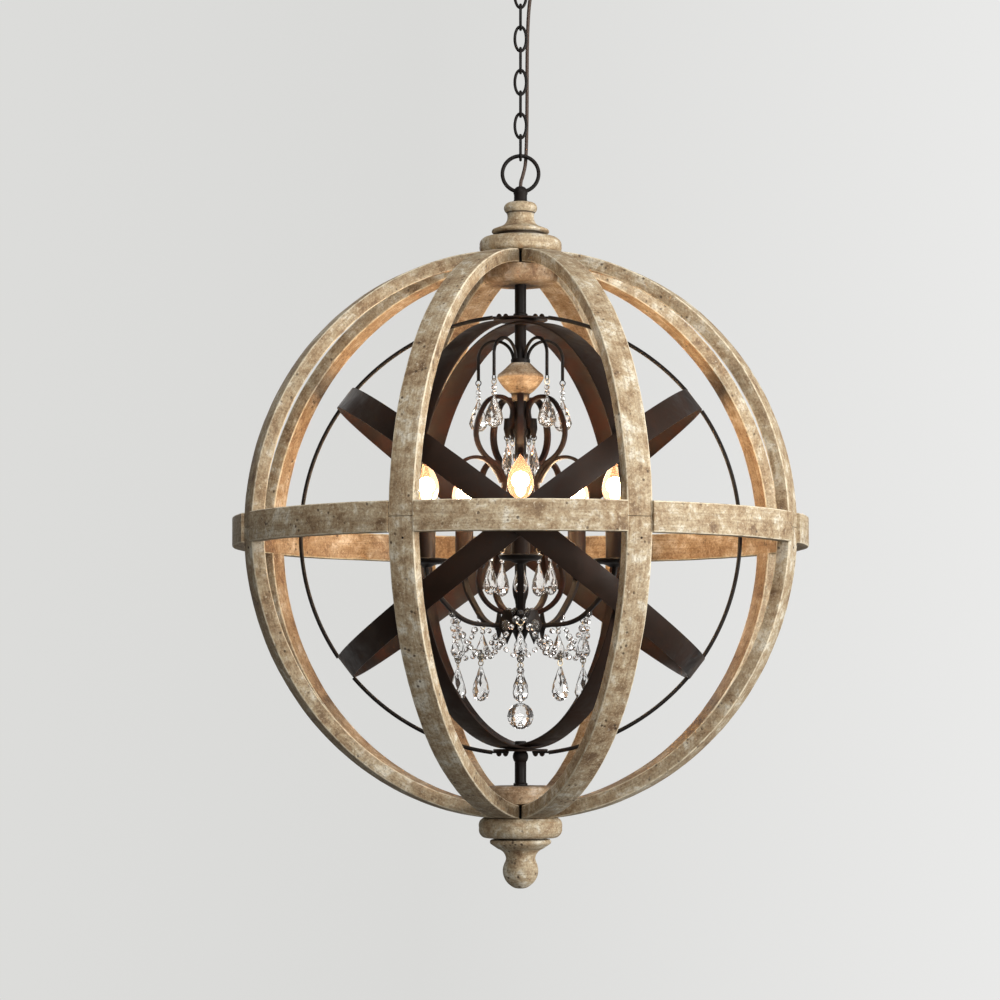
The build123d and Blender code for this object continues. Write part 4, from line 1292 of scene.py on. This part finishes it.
LAMPS = (  # name, place in metres, size in metres, power in watts, colour
    ("key lamp", (2.95, -1.45, -0.6), 1.2, 118, (1.0, 0.985, 0.95)),
    ("front lamp", (0.2, -3.4, -0.5), 1.3, 32, (1.0, 0.985, 0.955)),
    ("high lamp", (0.35, -1.8, 1.4), 1.2, 40, (1.0, 0.985, 0.955)),
    ("back lamp", (-1.2, 3.2, 0.2), 1.2, 24, (1.0, 0.99, 0.97)),
)
CAMERA_BELOW = radians(3.6)  # the camera looks up at the orb by this much
CAMERA_AWAY = 3.5


def aimed(obj, place, target):
    """Puts a lamp or camera at a place, turned to a target."""
    obj.location = place
    obj.rotation_euler = (target - Vector(place)).to_track_quat("-Z", "Y").to_euler()


class ORB_OT_stage(bpy.types.Operator):
    """Set up the pale surroundings, the soft lamps and the camera"""
    bl_idname = "orb.stage"
    bl_label = "Studio"

    def execute(self, context):
        scene = context.scene
        centre = Vector((0, 0, ORB_Z * MM))
        scene.world = studio_surroundings()
        for name, place, size, power, colour in LAMPS:
            lamp = bpy.data.lights.new(name, "AREA")
            lamp.shape = "DISK"
            lamp.size = size
            lamp.energy = power
            lamp.color = colour
            aimed(linked(name, lamp), place, centre)
        data = bpy.data.cameras.new("front camera")
        data.lens = 104.04
        data.sensor_width = 36
        data.shift_x = -0.0205
        data.shift_y = 0.034
        scene.camera = linked("front camera", data)
        aimed(scene.camera, centre + Vector((0, -cos(CAMERA_BELOW), -sin(CAMERA_BELOW))) * CAMERA_AWAY, centre)
        scene.view_settings.view_transform = "Standard"
        return {"FINISHED"}


# ---- add-on ----------------------------------------------------------------------------------------------
def length_property(name, description, default, low, high):
    return bpy.props.FloatProperty(name=name, description=description, default=default, min=low, max=high,
                                   unit="LENGTH", subtype="DISTANCE")


def colour_property(name, description, r, g, b):
    return bpy.props.FloatVectorProperty(name=name, description=description, default=tone(r, g, b)[:3], size=3,
                                         min=0, max=1, subtype="COLOR")


class ORB_PG_sizes(bpy.types.PropertyGroup):
    hoop_width: length_property("Hoop Width", "Width of the wooden hoops", 0.031, 0.01, 0.06)
    band_width: length_property("Band Width", "Width of the flat iron bands", 0.030, 0.01, 0.05)
    link_wire: length_property("Link Wire", "Thickness of the wire of a chain link", 0.0036, 0.001, 0.006)
    link_breadth: length_property("Link Breadth", "Outside breadth of a chain link", 0.0175, 0.01, 0.03)
    bead_radius: length_property("Bead Radius", "Radius of the small swag beads", 0.0034, 0.001, 0.006)
    lamp_power: bpy.props.FloatProperty(name="Bulb Power", description="Light that each candle bulb gives",
                                        default=0.75, min=0.0, max=20.0, unit="POWER")


class ORB_PG_colours(bpy.types.PropertyGroup):
    wood_deep: colour_property("Wood, Deep", "Bare brown wood between the paint", 104, 78, 54)
    wood_mid: colour_property("Wood, Middle", "Thin limed paint", 156, 132, 101)
    wood_pale: colour_property("Wood, Pale", "Thick limed paint", 186, 169, 141)
    iron: colour_property("Iron", "Blackened iron", 38, 26, 19)
    glow: colour_property("Bulb Glow", "Colour of the bulb's warm lower half", 255, 176, 128)


OPERATORS = (
    ORB_OT_stage,
    ORB_OT_supply_cord,
    ORB_OT_canopy,
    ORB_OT_chain,
    ORB_OT_wooden_hoops,
    ORB_OT_equator_hoop,
    ORB_OT_turned_wood,
    ORB_OT_iron_cage,
    ORB_OT_stem,
    ORB_OT_straps_and_arms,
    ORB_OT_candle_lights,
    ORB_OT_crystal_drops,
    ORB_OT_bead_swags,
)


class ORB_PT_chandelier(bpy.types.Panel):
    """Sizes, colours and build steps of the chandelier"""
    bl_label = "Orb Chandelier"
    bl_idname = "ORB_PT_chandelier"
    bl_space_type = "VIEW_3D"
    bl_region_type = "UI"
    bl_category = "Orb Chandelier"

    def draw(self, context):
        for group in (context.scene.orb_sizes, context.scene.orb_colours):
            box = self.layout.box()
            for name in group.__annotations__:
                box.prop(group, name)
        column = self.layout.column(align=True)
        for operator in OPERATORS:
            column.operator(operator.bl_idname)


CLASSES = (ORB_PG_sizes, ORB_PG_colours, *OPERATORS, ORB_PT_chandelier)


def register():
    for cls in CLASSES:
        bpy.utils.register_class(cls)
    bpy.types.Scene.orb_sizes = bpy.props.PointerProperty(type=ORB_PG_sizes)
    bpy.types.Scene.orb_colours = bpy.props.PointerProperty(type=ORB_PG_colours)


def unregister():
    del bpy.types.Scene.orb_colours
    del bpy.types.Scene.orb_sizes
    for cls in reversed(CLASSES):
        bpy.utils.unregister_class(cls)


def main():
    register()
    for operator in OPERATORS:
        getattr(bpy.ops.orb, operator.bl_idname.split(".")[1])()
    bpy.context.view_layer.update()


if __name__ == "__main__":
    main()
